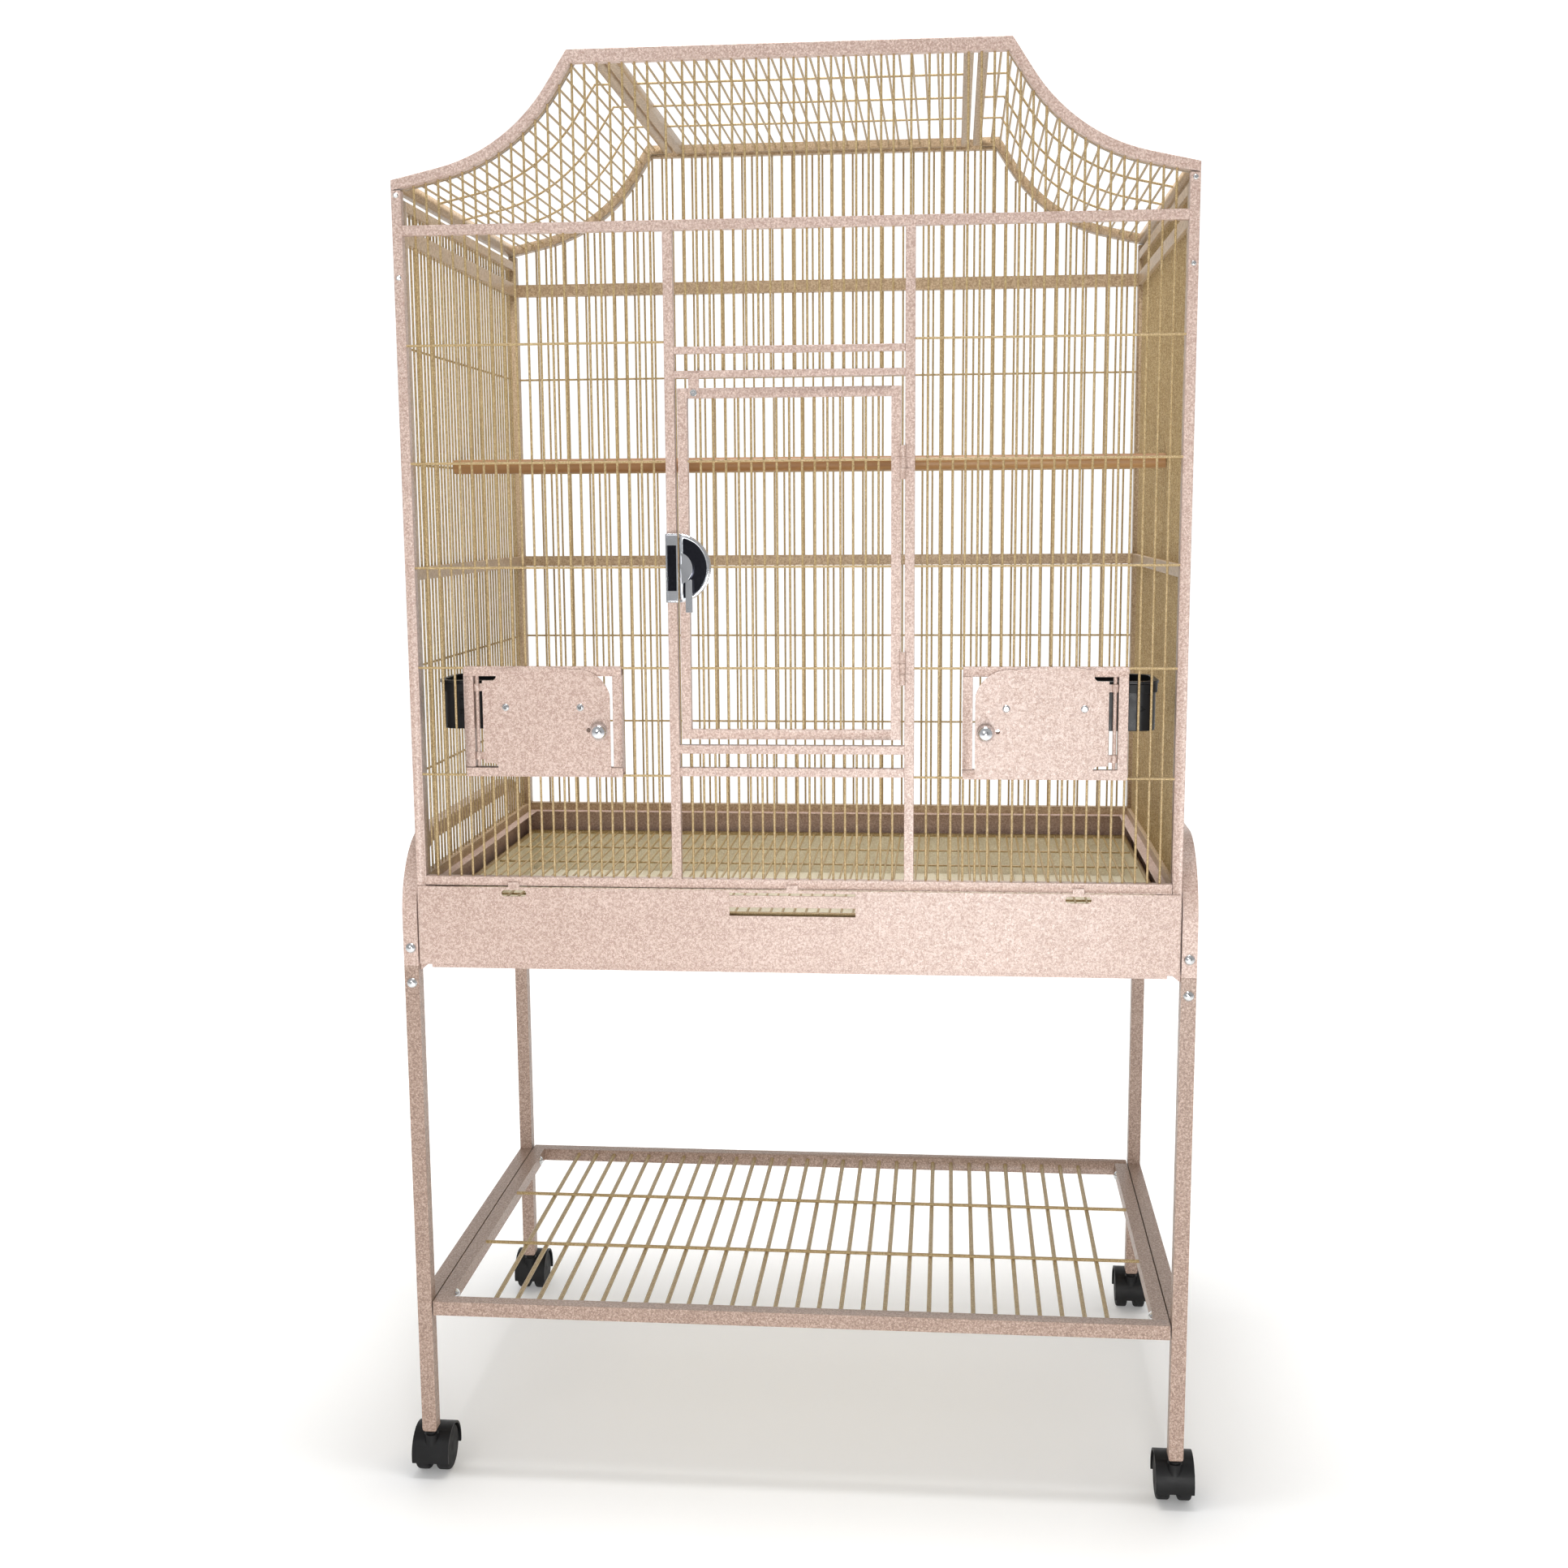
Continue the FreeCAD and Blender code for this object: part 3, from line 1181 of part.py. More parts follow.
def stand_bolts():
    """Splice bolts in the legs, and the bolts that hold the shelf to the side ties."""
    bolts = []
    for side, end in CORNERS:
        x, y = leg_centre(side, end)
        out = -1 if end == "front" else 1
        for step in (-1, 1):
            at = V(x, y + out * s["leg"] / 2, s["splice_z"] + step * s["bolt_step"])
            bolts.append(bolt(at, (0, -out, 0), s["leg"]))
    for side, y in shelf_bolt_places():
        sign = 1 if side == "right" else -1
        at = V(sign * shelf_side_in(), y, s["shelf_z"] - s["leg"] / 2)
        bolts.append(bolt(at, (sign, 0, 0), shelf_bolt_length()))
    name(shaped(bolts), "stand_bolts")


def shelf_side_in():
    """Inner face of the shelf's side rails."""
    return s["leg_x"] - s["leg_gap"] - s["leg"]


def shelf_bolt_length():
    return s["leg_x"] + s["leg"] - shelf_side_in()


def shelf_bolt_places():
    ends = (s["front_y"] + s["shelf_bolt_y"], s["back_y"] - s["shelf_bolt_y"])
    return [(side, y) for side in ("left", "right") for y in ends]


def side_ties():
    """Tubes that tie each front leg to the back one at shelf height."""
    ties = []
    for side in ("left", "right"):
        at = (side_low(side, "leg_x", "leg_x + leg"), "front_y + leg", "shelf_z - leg")
        base = tube("y", at, ("leg", "cage_d - 2 * leg", "leg"), "leg_wall")
        ties.append(cut(base, group(shelf_drills(side))))
    name(group(ties), "side_ties")


def shelf_drills(side):
    start = "-leg_x - leg - 1" if side == "left" else "leg_x - leg_gap - leg - 1"
    drills = []
    for y in ("front_y + shelf_bolt_y", "back_y - shelf_bolt_y"):
        drills.append(rod("x", (start, y, "shelf_z - leg / 2"), "2 * leg + leg_gap + 2", "bolt_r"))
    return drills


def shelf():
    """Shelf: four tubes, bars from front to back, and two cross wires on top of them."""
    half, z = "leg_x - leg_gap", "shelf_z - leg"
    pieces = []
    for y in ("front_y", "back_y - leg"):
        pieces.append(tube("x", (f"-({half})", y, z), (f"2 * ({half})", "leg", "leg"), "leg_wall"))
    for side in ("left", "right"):
        at = (side_low(side, f"{half} - leg", half), "front_y + leg", z)
        rail_tube = tube("y", at, ("leg", "cage_d - 2 * leg", "leg"), "leg_wall")
        pieces.append(cut(rail_tube, group(shelf_drills(side))))
    name(group(pieces), "shelf_frame")
    level = "shelf_z - 2 * shelf_wire_r - shelf_bar_r"
    at = ("-shelf_bar_pitch * (shelf_bars - 1) / 2", "front_y + leg", level)
    bars = [bar_row(at, LYING_ALONG_Y, "cage_d - 2 * leg", "shelf_bar_pitch", "shelf_bars", "shelf_bar_r")]
    start = f"-({half} - leg)"
    for share in (1, 2):
        y = f"front_y + leg + (cage_d - 2 * leg) * {share} / 3"
        bars.append(rod("x", (start, y, "shelf_z - shelf_wire_r"), f"2 * ({half} - leg)", "shelf_wire_r"))
    name(group(bars), "shelf_bars")


def corner_gussets():
    """Triangular plates under the base's bottom flange, bolted through to the legs."""
    low = s["base_z"]
    solids = []
    for side, end in CORNERS:
        reach = s["front_gusset"] if end == "front" else s["gusset"]
        x, y = s["leg_x"], leg_centre(side, end)[1] - s["gusset_t"] / 2
        turns = [V(x, y, low), V(x - reach, y, low), V(x, y, low - 0.8 * reach)]
        wedge = Part.Face(Part.makePolygon(turns + turns[:1])).extrude(V(0, s["gusset_t"], 0))
        solids.append(mirrored(wedge, side))
    name(shaped(solids), "corner_gussets")


def panel_screws():
    """Small screws in the front of the corner posts."""
    solids = []
    for side in ("left", "right"):
        for z in (s["front_rail_z"] - 42, s["front_rail_z"] + 40):
            at = V(s["post_x"] + s["tube"] / 2, s["front_y"], z)
            head = Part.makeCone(3, 1.8, 1.4, at, V(0, -1, 0))
            solids.append(mirrored(head, side))
    name(shaped(solids), "panel_screws")


# ---------------------------------------------------------------- casters


def stem_sockets():
    """Plugs in the leg ends: a rounded cap under the leg and a bore for the caster's stem."""
    inside = s["leg"] - 2 * s["leg_wall"] - 2 * s["splice_play"]
    cap, half = s["cap"], s["leg"] / 2
    tall = s["stem_len"] - cap + 2
    solids = []
    for side, end in CORNERS:
        x, y = leg_centre(side, end)
        low = s["leg_bottom_z"]
        plug = Part.makeBox(inside, inside, tall, V(x - inside / 2, y - inside / 2, low))
        foot = Part.makeBox(s["leg"], s["leg"], cap, V(x - half, y - half, low - cap))
        under = [e for e in foot.Edges if e.BoundBox.ZMax < low - cap + 0.1]
        foot = foot.makeFillet(s["cap_round"], under)
        bore = Part.makeCylinder(s["stem_r"] + s["stem_play"], tall + cap, V(x, y, low - cap))
        solids.append(plug.fuse(foot).cut(bore).removeSplitter())
    name(shaped(solids), "stem_sockets")


def caster_hood(side, end):
    """Caster body: an arched hood over both wheels, a web between them, a boss, and the stem."""
    x, y = leg_centre(side, end)
    axle_y, axle_z = y + s["trail"], s["wheel_r"]
    room = s["wheel_r"] + s["hood_play"]
    outer_r = room + s["hood_t"]
    half, web = s["hood_w"] / 2, s["wheel_gap"] / 2 - 0.6
    shell = Part.makeCylinder(outer_r, 2 * half, V(x - half, axle_y, axle_z), V(1, 0, 0))
    stem_top = s["leg_bottom_z"] - s["cap"]
    boss_low = axle_z + 8
    boss = Part.makeCylinder(8, stem_top - 3 - boss_low, V(x, y, boss_low))
    body = shell.fuse(boss)
    wells = []
    for start in (x - half - 1, x + web):
        wells.append(Part.makeCylinder(room, half + 1 - web, V(start, axle_y, axle_z), V(1, 0, 0)))
    corner = V(x - 2 * outer_r, axle_y - 2 * outer_r, -outer_r)
    under = Part.makeBox(4 * outer_r, 4 * outer_r, outer_r + axle_z - 7, corner)
    bore_r = s["axle_r"] + s["axle_play"]
    bore = Part.makeCylinder(bore_r, 2 * half + 2, V(x - half - 1, axle_y, axle_z), V(1, 0, 0))
    body = body.cut(wells + [under, bore])
    collar = Part.makeCylinder(s["collar_r"], 3 - 0.3, V(x, y, stem_top - 3))
    stem = Part.makeCylinder(s["stem_r"], s["stem_len"] + 3, V(x, y, stem_top - 3))
    name(shaped([body.fuse([collar, stem]).removeSplitter()]), f"caster_hood_{end}_{side}")


def caster_wheels(side, end):
    """Twin wheels on their axle."""
    x, y = leg_centre(side, end)
    axle_y, axle_z = y + s["trail"], s["wheel_r"]
    gap, w, r = s["wheel_gap"] / 2, s["wheel_w"], s["wheel_round"]
    solids = []
    for start in (x - gap - w, x + gap):
        wheel = Part.makeCylinder(s["wheel_r"], w, V(start, axle_y, axle_z), V(1, 0, 0))
        rims = [e for e in wheel.Edges if len(e.Vertexes) == 1]
        wheel = wheel.makeFillet(r, rims)
        solids.append(wheel.cut(Part.makeCylinder(s["axle_r"], w, V(start, axle_y, axle_z), V(1, 0, 0))))
    length = 2 * (gap + w)
    solids.append(Part.makeCylinder(s["axle_r"], length, V(x - length / 2, axle_y, axle_z), V(1, 0, 0)))
    name(shaped(solids), f"caster_wheels_{end}_{side}")


# ---------------------------------------------------------------- assembly


def build():
    front_frame()
    front_bars()
    roof_band(s["front_y"], "front_roof_band")
    back_frame()
    back_bars()
    roof_band(s["back_y"] - s["tube"], "back_roof_band")
    for side in ("left", "right"):
        side_frame(side)
        side_bars(side)
        roof_side_frame(side)
        roof_side_bars(side)
    roof_center()
    panel_screws()
    door()
    door_hinges()
    latch()
    turn_button()
    for side in ("left", "right"):
        feeder_plate(side)
        cup_ring(side)
        feed_cup(side)
        feeder_knob(side)
    perch()
    base_housing()
    drawer_front()
    drawer_grip()
    tray()
    floor_grille()
    for side in ("left", "right"):
        stand_arch(side)
    side_ties()
    shelf()
    corner_gussets()
    stand_bolts()
    stem_sockets()
    for side, end in CORNERS:
        stand_leg(side, end)
        caster_hood(side, end)
        caster_wheels(side, end)


def check():
    """Stop if any object of the document failed, or any sub-part has no valid shape."""
    for item in doc.Objects:
        if {"Invalid", "Error"} & set(item.State):
            raise RuntimeError(f"{item.Name} ({item.Label}) failed: {item.State}")
    for node in nodes:
        if node.Shape.isNull() or not node.Shape.isValid() or not node.Shape.Solids:
            raise RuntimeError(f"{node.Label} has no valid shape")


def export():
    os.makedirs("parts", exist_ok=True)
    for node in nodes:
        node.Shape.exportStep(f"parts/{node.Label}.step")


build()
doc.recompute()
check()
export()
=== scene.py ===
"""Looks for the powder-coated bird cage on its rolling stand. Metres, in the CAD model's frame."""

import json
import math

import bmesh
import bpy
from mathutils import Matrix, Vector


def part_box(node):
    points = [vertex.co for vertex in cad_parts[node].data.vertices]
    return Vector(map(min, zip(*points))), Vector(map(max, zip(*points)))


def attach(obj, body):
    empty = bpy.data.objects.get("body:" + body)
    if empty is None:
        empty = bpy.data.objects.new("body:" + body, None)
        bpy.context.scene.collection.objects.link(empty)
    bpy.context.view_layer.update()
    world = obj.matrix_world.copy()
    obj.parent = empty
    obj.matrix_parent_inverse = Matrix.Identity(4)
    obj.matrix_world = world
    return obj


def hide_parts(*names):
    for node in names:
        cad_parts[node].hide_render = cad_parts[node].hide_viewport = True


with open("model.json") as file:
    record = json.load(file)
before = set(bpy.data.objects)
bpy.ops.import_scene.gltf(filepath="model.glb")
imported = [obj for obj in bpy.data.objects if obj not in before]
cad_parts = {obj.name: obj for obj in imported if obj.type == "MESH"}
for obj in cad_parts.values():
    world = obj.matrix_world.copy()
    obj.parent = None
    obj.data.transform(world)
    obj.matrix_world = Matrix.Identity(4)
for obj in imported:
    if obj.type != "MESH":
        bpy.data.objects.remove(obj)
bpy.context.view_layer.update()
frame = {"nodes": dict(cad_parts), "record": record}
NODES = frame["nodes"]
BODIES = frame["record"]["behaviour"]["bodies"]
BODY_OF = {node: body for body, nodes in BODIES.items() for node in nodes}

WIRE_R = 0.00125  # a wire's radius
SAME_POINT = 2e-6  # vertices closer than this are one
FRONT_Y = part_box("front_frame")[0].y
ROOF_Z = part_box("front_roof_band")[1].z
CAGE_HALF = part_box("front_frame")[1].x

# The roof's outline, from the shoulder up to the seam with the flat panel.
SHOULDER_Z = 1.420
FLAT_HALF = 0.222
LOW_SLOPE, HIGH_SLOPE = math.radians(12.5), math.radians(57)
BEND_R = 0.185
PANEL_TUBE = 0.010
POST_IN = CAGE_HALF - PANEL_TUBE
SEAM_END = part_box("roof_right_frame")[0].x + PANEL_TUBE

# ---------------------------------------------------------------- materials


class Shading:
    """A material and short calls for wiring its nodes."""

    def __init__(self, name, **sockets):
        self.material = bpy.data.materials.new(name)
        self.material.use_nodes = True
        self.tree = self.material.node_tree
        self.shader = self.tree.nodes["Principled BSDF"]
        for socket, value in sockets.items():
            self.shader.inputs[socket.replace("_", " ")].default_value = value
        self.place = self.tree.nodes.new("ShaderNodeTexCoord").outputs["Object"]

    def link(self, out, into):
        """Join an output to an input."""
        self.tree.links.new(out, into)

    def stretched(self, scale):
        """Object coordinates, scaled by three numbers."""
        mapping = self.tree.nodes.new("ShaderNodeMapping")
        mapping.inputs["Scale"].default_value = scale
        self.link(self.place, mapping.inputs["Vector"])
        return mapping.outputs["Vector"]

    def noise(self, scale, detail=2.0, rough=0.5, place=None):
        """Cloudy noise, `scale` lumps to the metre."""
        node = self.tree.nodes.new("ShaderNodeTexNoise")
        node.inputs["Scale"].default_value = scale
        node.inputs["Detail"].default_value = detail
        node.inputs["Roughness"].default_value = rough
        self.link(place or self.place, node.inputs["Vector"])
        return node.outputs["Fac"]

    def ramp(self, fac, *stops):
        """Colours or greys by position along fac: (position, colour) pairs."""
        node = self.tree.nodes.new("ShaderNodeValToRGB")
        elements = node.color_ramp.elements
        while len(elements) < len(stops):
            elements.new(0.5)
        for element, (position, colour) in zip(elements, stops):
            element.position = position
            grey = isinstance(colour, (int, float))
            element.color = (colour, colour, colour, 1) if grey else (*colour, 1)
        self.link(fac, node.inputs["Fac"])
        return node.outputs["Color"]

    def mix(self, fac, a, b, blend="MIX"):
        """Colour a with b over it; each of the three is an output or a plain value."""
        node = self.tree.nodes.new("ShaderNodeMix")
        node.data_type = "RGBA"
        node.blend_type = blend
        inputs = {socket.identifier: socket for socket in node.inputs}
        for identifier, value in (("Factor_Float", fac), ("A_Color", a), ("B_Color", b)):
            if isinstance(value, (int, float)):
                inputs[identifier].default_value = value
            elif isinstance(value, tuple):
                inputs[identifier].default_value = (*value, 1)
            else:
                self.link(value, inputs[identifier])
        return next(o for o in node.outputs if o.type == "RGBA")

    def colour(self, out):
        """The surface's colour."""
        self.link(out, self.shader.inputs["Base Color"])

    def roughness(self, out):
        """The surface's roughness."""
        self.link(out, self.shader.inputs["Roughness"])

    def bump(self, height, strength, depth):
        """Fine relief, `depth` metres from low to high."""
        node = self.tree.nodes.new("ShaderNodeBump")
        node.inputs["Strength"].default_value = strength
        node.inputs["Distance"].default_value = depth
        self.link(height, node.inputs["Height"])
        self.link(node.outputs["Normal"], self.shader.inputs["Normal"])


def linear(red, green, blue):
    """Display values from 0 to 255 as a linear colour."""
    shares = [value / 255 for value in (red, green, blue)]
    return tuple(((v + 0.055) / 1.055) ** 2.4 if v > 0.04 else v / 12.92 for v in shares)


def powder_coat(name, dark, middle, light, grain=430.0, relief=0.35):
    """Mottled, faintly pebbled powder coat: three shades, pale flecks, and uneven gloss."""
    m = Shading(name, Roughness=0.42, Metallic=0.0)
    mottle = m.ramp(m.noise(grain, 3.0, 0.62), (0.36, dark), (0.5, middle), (0.64, light))
    fleck = m.ramp(m.noise(grain * 2.0, 1.0, 0.4), (0.58, 0.0), (0.7, 0.8))
    pale = tuple(min(1.0, 1.15 * c + 0.03) for c in light)
    drift = m.ramp(m.noise(7.0, 2.0), (0.3, (0.94, 0.93, 0.92)), (0.7, (1.0, 1.0, 1.0)))
    m.colour(m.mix(1.0, m.mix(fleck, mottle, pale), drift, "MULTIPLY"))
    m.roughness(m.ramp(m.noise(grain * 0.8, 2.0), (0.3, 0.3), (0.7, 0.48)))
    m.bump(m.noise(grain * 1.1, 2.0, 0.55), relief, 0.0004)
    return m.material


def plated(name, colour, rough, scale=900.0):
    """Plated steel with fine wear in its polish."""
    m = Shading(name, Metallic=1.0)
    m.colour(m.ramp(m.noise(60.0, 2.0), (0.3, tuple(0.86 * c for c in colour)), (0.7, colour)))
    m.roughness(m.ramp(m.noise(scale, 3.0), (0.3, rough), (0.75, rough + 0.14)))
    m.bump(m.noise(scale, 2.0), 0.015, 0.0001)
    return m.material


def moulded(name, colour, rough, grain=1500.0):
    """Moulded plastic with a fine grain and dusty patches."""
    m = Shading(name, Specular_IOR_Level=0.28)
    m.colour(m.ramp(m.noise(35.0, 3.0), (0.35, colour), (0.75, tuple(1.7 * c + 0.002 for c in colour))))
    m.roughness(m.ramp(m.noise(120.0, 2.0), (0.3, rough), (0.7, rough + 0.16)))
    m.bump(m.noise(grain, 2.0), 0.12, 0.0002)
    return m.material


def turned_wood():
    """Golden dowel: grain lines drawn out along its length."""
    m = Shading("perch_wood")
    fibres = m.noise(55.0, 4.0, 0.65, m.stretched((0.06, 1.0, 1.0)))
    rings = m.noise(16.0, 2.0, 0.5, m.stretched((0.15, 1.0, 1.0)))
    brown, tan, straw = linear(120, 82, 44), linear(152, 110, 64), linear(180, 140, 90)
    tone = m.ramp(fibres, (0.3, brown), (0.52, tan), (0.72, straw))
    m.colour(m.mix(m.ramp(rings, (0.42, 0.0), (0.62, 0.55)), tone, linear(138, 94, 50)))
    m.roughness(m.ramp(fibres, (0.3, 0.6), (0.7, 0.42)))
    m.bump(fibres, 0.25, 0.0004)
    return m.material


SAND = powder_coat("sandstone_paint", linear(172, 145, 133), linear(191, 166, 154), linear(210, 189, 179))
# A darker copy of the sandstone coat for the stand: painted shade, where less light falls low down.
STAND_SHADE = powder_coat("stand_paint_painted_shade", linear(136, 112, 99), linear(156, 132, 118), linear(180, 157, 143))
# A darker, more olive copy of the sandstone coat for the back, side and roof members: painted shade, where
# the front light falls off.
RAIL_SHADE = powder_coat("rail_paint_painted_shade", linear(150, 124, 94), linear(172, 147, 116), linear(192, 169, 138))
FINE = {"grain": 700.0, "relief": 0.25}  # the coat on wires
WIRE = powder_coat("wire_paint", linear(148, 122, 78), linear(170, 145, 100), linear(196, 174, 132), **FINE)
# A darker copy of the wire coat for the shelf bars and the floor grille: painted shade, low down and inside
# the base.
GRILLE_SHADE = powder_coat(
    "grille_paint_painted_shade", linear(146, 120, 74), linear(166, 141, 94), linear(190, 168, 124), **FINE
)
TRAY = powder_coat(
    "tray_paint", linear(222, 214, 190), linear(232, 225, 204), linear(240, 235, 218), grain=420.0, relief=0.2
)
CHROME = plated("chrome", (0.86, 0.88, 0.92), 0.05)
# Dark plated metal laid in the latch's recesses: painted shade.
SHADED = plated("painted_shade_plate", (0.035, 0.036, 0.046), 0.12)
ZINC = plated("zinc", (0.78, 0.79, 0.8), 0.14)
BLACK = moulded("black_plastic", (0.003, 0.003, 0.0033), 0.42)
TREAD = moulded("black_tread", (0.006, 0.006, 0.0065), 0.58)
CUP = moulded("cup_plastic", (0.006, 0.006, 0.0065), 0.25)
WOOD = turned_wood()

# ---------------------------------------------------------------- CAD nodes that stay


def finish_cad(node, material, edge=0.0006, segments=2, angle=32):
    """Give a CAD node its material, softened edges (unless edge is 0) and smooth shading."""
    obj = NODES[node]
    obj.data.materials.clear()
    obj.data.materials.append(material)
    custom = obj.data.attributes.get("custom_normal")
    if custom:
        obj.data.attributes.remove(custom)
    obj.data.polygons.foreach_set("use_smooth", [True] * len(obj.data.polygons))
    weld = obj.modifiers.new("Weld", "WELD")
    weld.merge_threshold = SAME_POINT
    flat = obj.modifiers.new("Flat", "DECIMATE")
    flat.decimate_type = "DISSOLVE"
    flat.angle_limit = math.radians(0.6)
    if edge:
        bevel = obj.modifiers.new("Edge", "BEVEL")
        bevel.width = edge
        bevel.segments = segments
        bevel.limit_method = "ANGLE"
        bevel.angle_limit = math.radians(angle)
    obj.modifiers.new("Normals", "WEIGHTED_NORMAL").keep_sharp = False
    return obj


# ---------------------------------------------------------------- new pieces


def put_in_scene(name, data):
    """A new object that shows a mesh, a light or a camera."""
    obj = bpy.data.objects.new(name, data)
    bpy.context.scene.collection.objects.link(obj)
    return obj


def solid(name, bm, material, smooth):
    """A new object from a bmesh, which is used up."""
    mesh = bpy.data.meshes.new(name)
    bm.to_mesh(mesh)
    bm.free()
    mesh.materials.append(material)
    mesh.polygons.foreach_set("use_smooth", [smooth] * len(mesh.polygons))
    return put_in_scene(name, mesh)


def piece(name, bm, material, body, replaces=(), smooth=True):
    """A new object of the model: its material, its body, and the CAD nodes it stands for."""
    obj = solid(name, bm, material, smooth)
    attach(obj, body)
    if replaces:
        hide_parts(*replaces)
    return obj


def ring(bm, centre, along, radius, sides):
    """A ring of vertices round a line."""
    along = along.normalized()
    side = along.orthogonal().normalized()
    up = along.cross(side)
    spots = []
    for i in range(sides):
        a = 2 * math.pi * i / sides
        spots.append(bm.verts.new(centre + radius * (math.cos(a) * side + math.sin(a) * up)))
    return spots


def bridge(bm, a, b):
    """Faces between two rings of as many vertices."""
    for i in range(len(a)):
        j = (i + 1) % len(a)
        bm.faces.new((a[i], a[j], b[j], b[i]))


def round_rod(bm, start, end, radius, sides=14):
    """A straight round rod, closed at both ends."""
    along = end - start
    first, last = ring(bm, start, along, radius, sides), ring(bm, end, along, radius, sides)
    bridge(bm, first, last)
    bm.faces.new(list(reversed(first)))
    bm.faces.new(last)


def bent_rod(bm, points, radius, sides=12):
    """A round rod through points in a plane of constant Y."""
    rings = []
    across = Vector((0, 1, 0))
    for i, point in enumerate(points):
        before, after = points[max(i - 1, 0)], points[min(i + 1, len(points) - 1)]
        side = (after - before).normalized().cross(across)
        loop = []
        for k in range(sides):
            a = 2 * math.pi * k / sides
            loop.append(bm.verts.new(point + radius * (math.cos(a) * side + math.sin(a) * across)))
        rings.append(loop)
    for a, b in zip(rings, rings[1:]):
        bridge(bm, a, b)
    bm.faces.new(list(reversed(rings[0])))
    bm.faces.new(rings[-1])


def islands(node):
    """Lowest and highest corner of each separate solid of a CAD node."""
    bm = bmesh.new()
    bm.from_mesh(NODES[node].data)
    bmesh.ops.remove_doubles(bm, verts=bm.verts, dist=SAME_POINT)
    left, found = set(bm.verts), []
    while left:
        stack, seen = [left.pop()], []
        while stack:
            vert = stack.pop()
            seen.append(vert.co.copy())
            for edge in vert.link_edges:
                other = edge.other_vert(vert)
                if other in left:
                    left.remove(other)
                    stack.append(other)
        low = Vector([min(c[i] for c in seen) for i in range(3)])
        high = Vector([max(c[i] for c in seen) for i in range(3)])
        found.append((low, high))
    bm.free()
    return found


def smooth_bars(node, material):
    """Round bars in place of a CAD node's faceted ones.

    A wire that follows the roof is several solids in the CAD model, and one bent bar here.
    """
    bm = bmesh.new()
    rods, bent = [], set()
    for low, high in islands(node):
        size = high - low
        axis = max(range(3), key=lambda i: size[i])
        radius = max(size[i] for i in range(3) if i != axis) / 2
        middle = (low + high) / 2
        if radius > 2 * WIRE_R and size.y < 3 * WIRE_R:  # a sloping or curved length of such a wire
            bent.add((round(middle.y, 4), math.copysign(1, middle.x)))
        else:
            rods.append((middle, axis, size[axis] / 2, radius))
    for middle, axis, half, radius in rods:
        if axis == 0 and any(abs(middle.y - y) < WIRE_R for y, _ in bent):
            continue  # a level length of such a wire
        start, end = middle.copy(), middle.copy()
        start[axis] -= half
        end[axis] += half
        round_rod(bm, start, end, radius)
    for y, sign in sorted(bent):
        bent_rod(bm, roof_path(2 * WIRE_R, y, sign), WIRE_R)
    obj = piece(node + "_round", bm, material, BODY_OF[node], [node])
    edges = obj.modifiers.new("Ends", "EDGE_SPLIT")
    edges.split_angle = math.radians(60)
    return obj


def roof_path(depth, y, sign):
    """Points on the roof's line, `depth` below its outer surface: two straights and a bend."""
    run = CAGE_HALF - FLAT_HALF - BEND_R * (math.sin(HIGH_SLOPE) - math.sin(LOW_SLOPE))
    rise = ROOF_Z - SHOULDER_Z - BEND_R * (math.cos(LOW_SLOPE) - math.cos(HIGH_SLOPE))
    scale = math.sin(HIGH_SLOPE - LOW_SLOPE)
    gentle = (run * math.sin(HIGH_SLOPE) - rise * math.cos(HIGH_SLOPE)) / scale
    start_x = CAGE_HALF - gentle * math.cos(LOW_SLOPE)
    start_z = SHOULDER_Z + gentle * math.sin(LOW_SLOPE)
    centre = (start_x + BEND_R * math.sin(LOW_SLOPE), start_z + BEND_R * math.cos(LOW_SLOPE))
    radius = BEND_R + depth
    steps, arc = 24, []
    for i in range(steps + 1):
        a = LOW_SLOPE + (HIGH_SLOPE - LOW_SLOPE) * i / steps
        arc.append((centre[0] - radius * math.sin(a), centre[1] - radius * math.cos(a)))
    foot = (POST_IN, arc[0][1] - (POST_IN - arc[0][0]) * math.tan(LOW_SLOPE))
    top = ROOF_Z - depth
    corner = (arc[-1][0] - (top - arc[-1][1]) / math.tan(HIGH_SLOPE), top)
    line = [foot] + arc + [corner, (SEAM_END, top)]
    return [Vector((sign * x, y, z)) for x, z in line]


BAR_NODES = {
    "front_bars": WIRE, "back_bars": WIRE, "left_bars": WIRE, "right_bars": WIRE,
    "roof_left_bars": WIRE, "roof_right_bars": WIRE, "roof_center_bars": WIRE,
    # The shelf bars and floor grille take the darker grille copy of the coat: painted shade.
    "door_bars": WIRE, "shelf_bars": GRILLE_SHADE, "floor_grille": GRILLE_SHADE,
}
for node, material in BAR_NODES.items():
    smooth_bars(node, material)

CURVED_FRAMES = ("roof_left_frame", "roof_right_frame")
for node in ["front_frame", "front_roof_band", "door_frame"]:
    finish_cad(node, SAND, 0.0007)
# The back, side and roof frames and the back roof band take the darker rail copy of the coat: painted shade.
for node in NODES:
    if node.endswith("_frame") and node.startswith(("back", "left", "right", "roof")):
        finish_cad(node, RAIL_SHADE, 0 if node in CURVED_FRAMES else 0.0007)
finish_cad("back_roof_band", RAIL_SHADE, 0.0007)
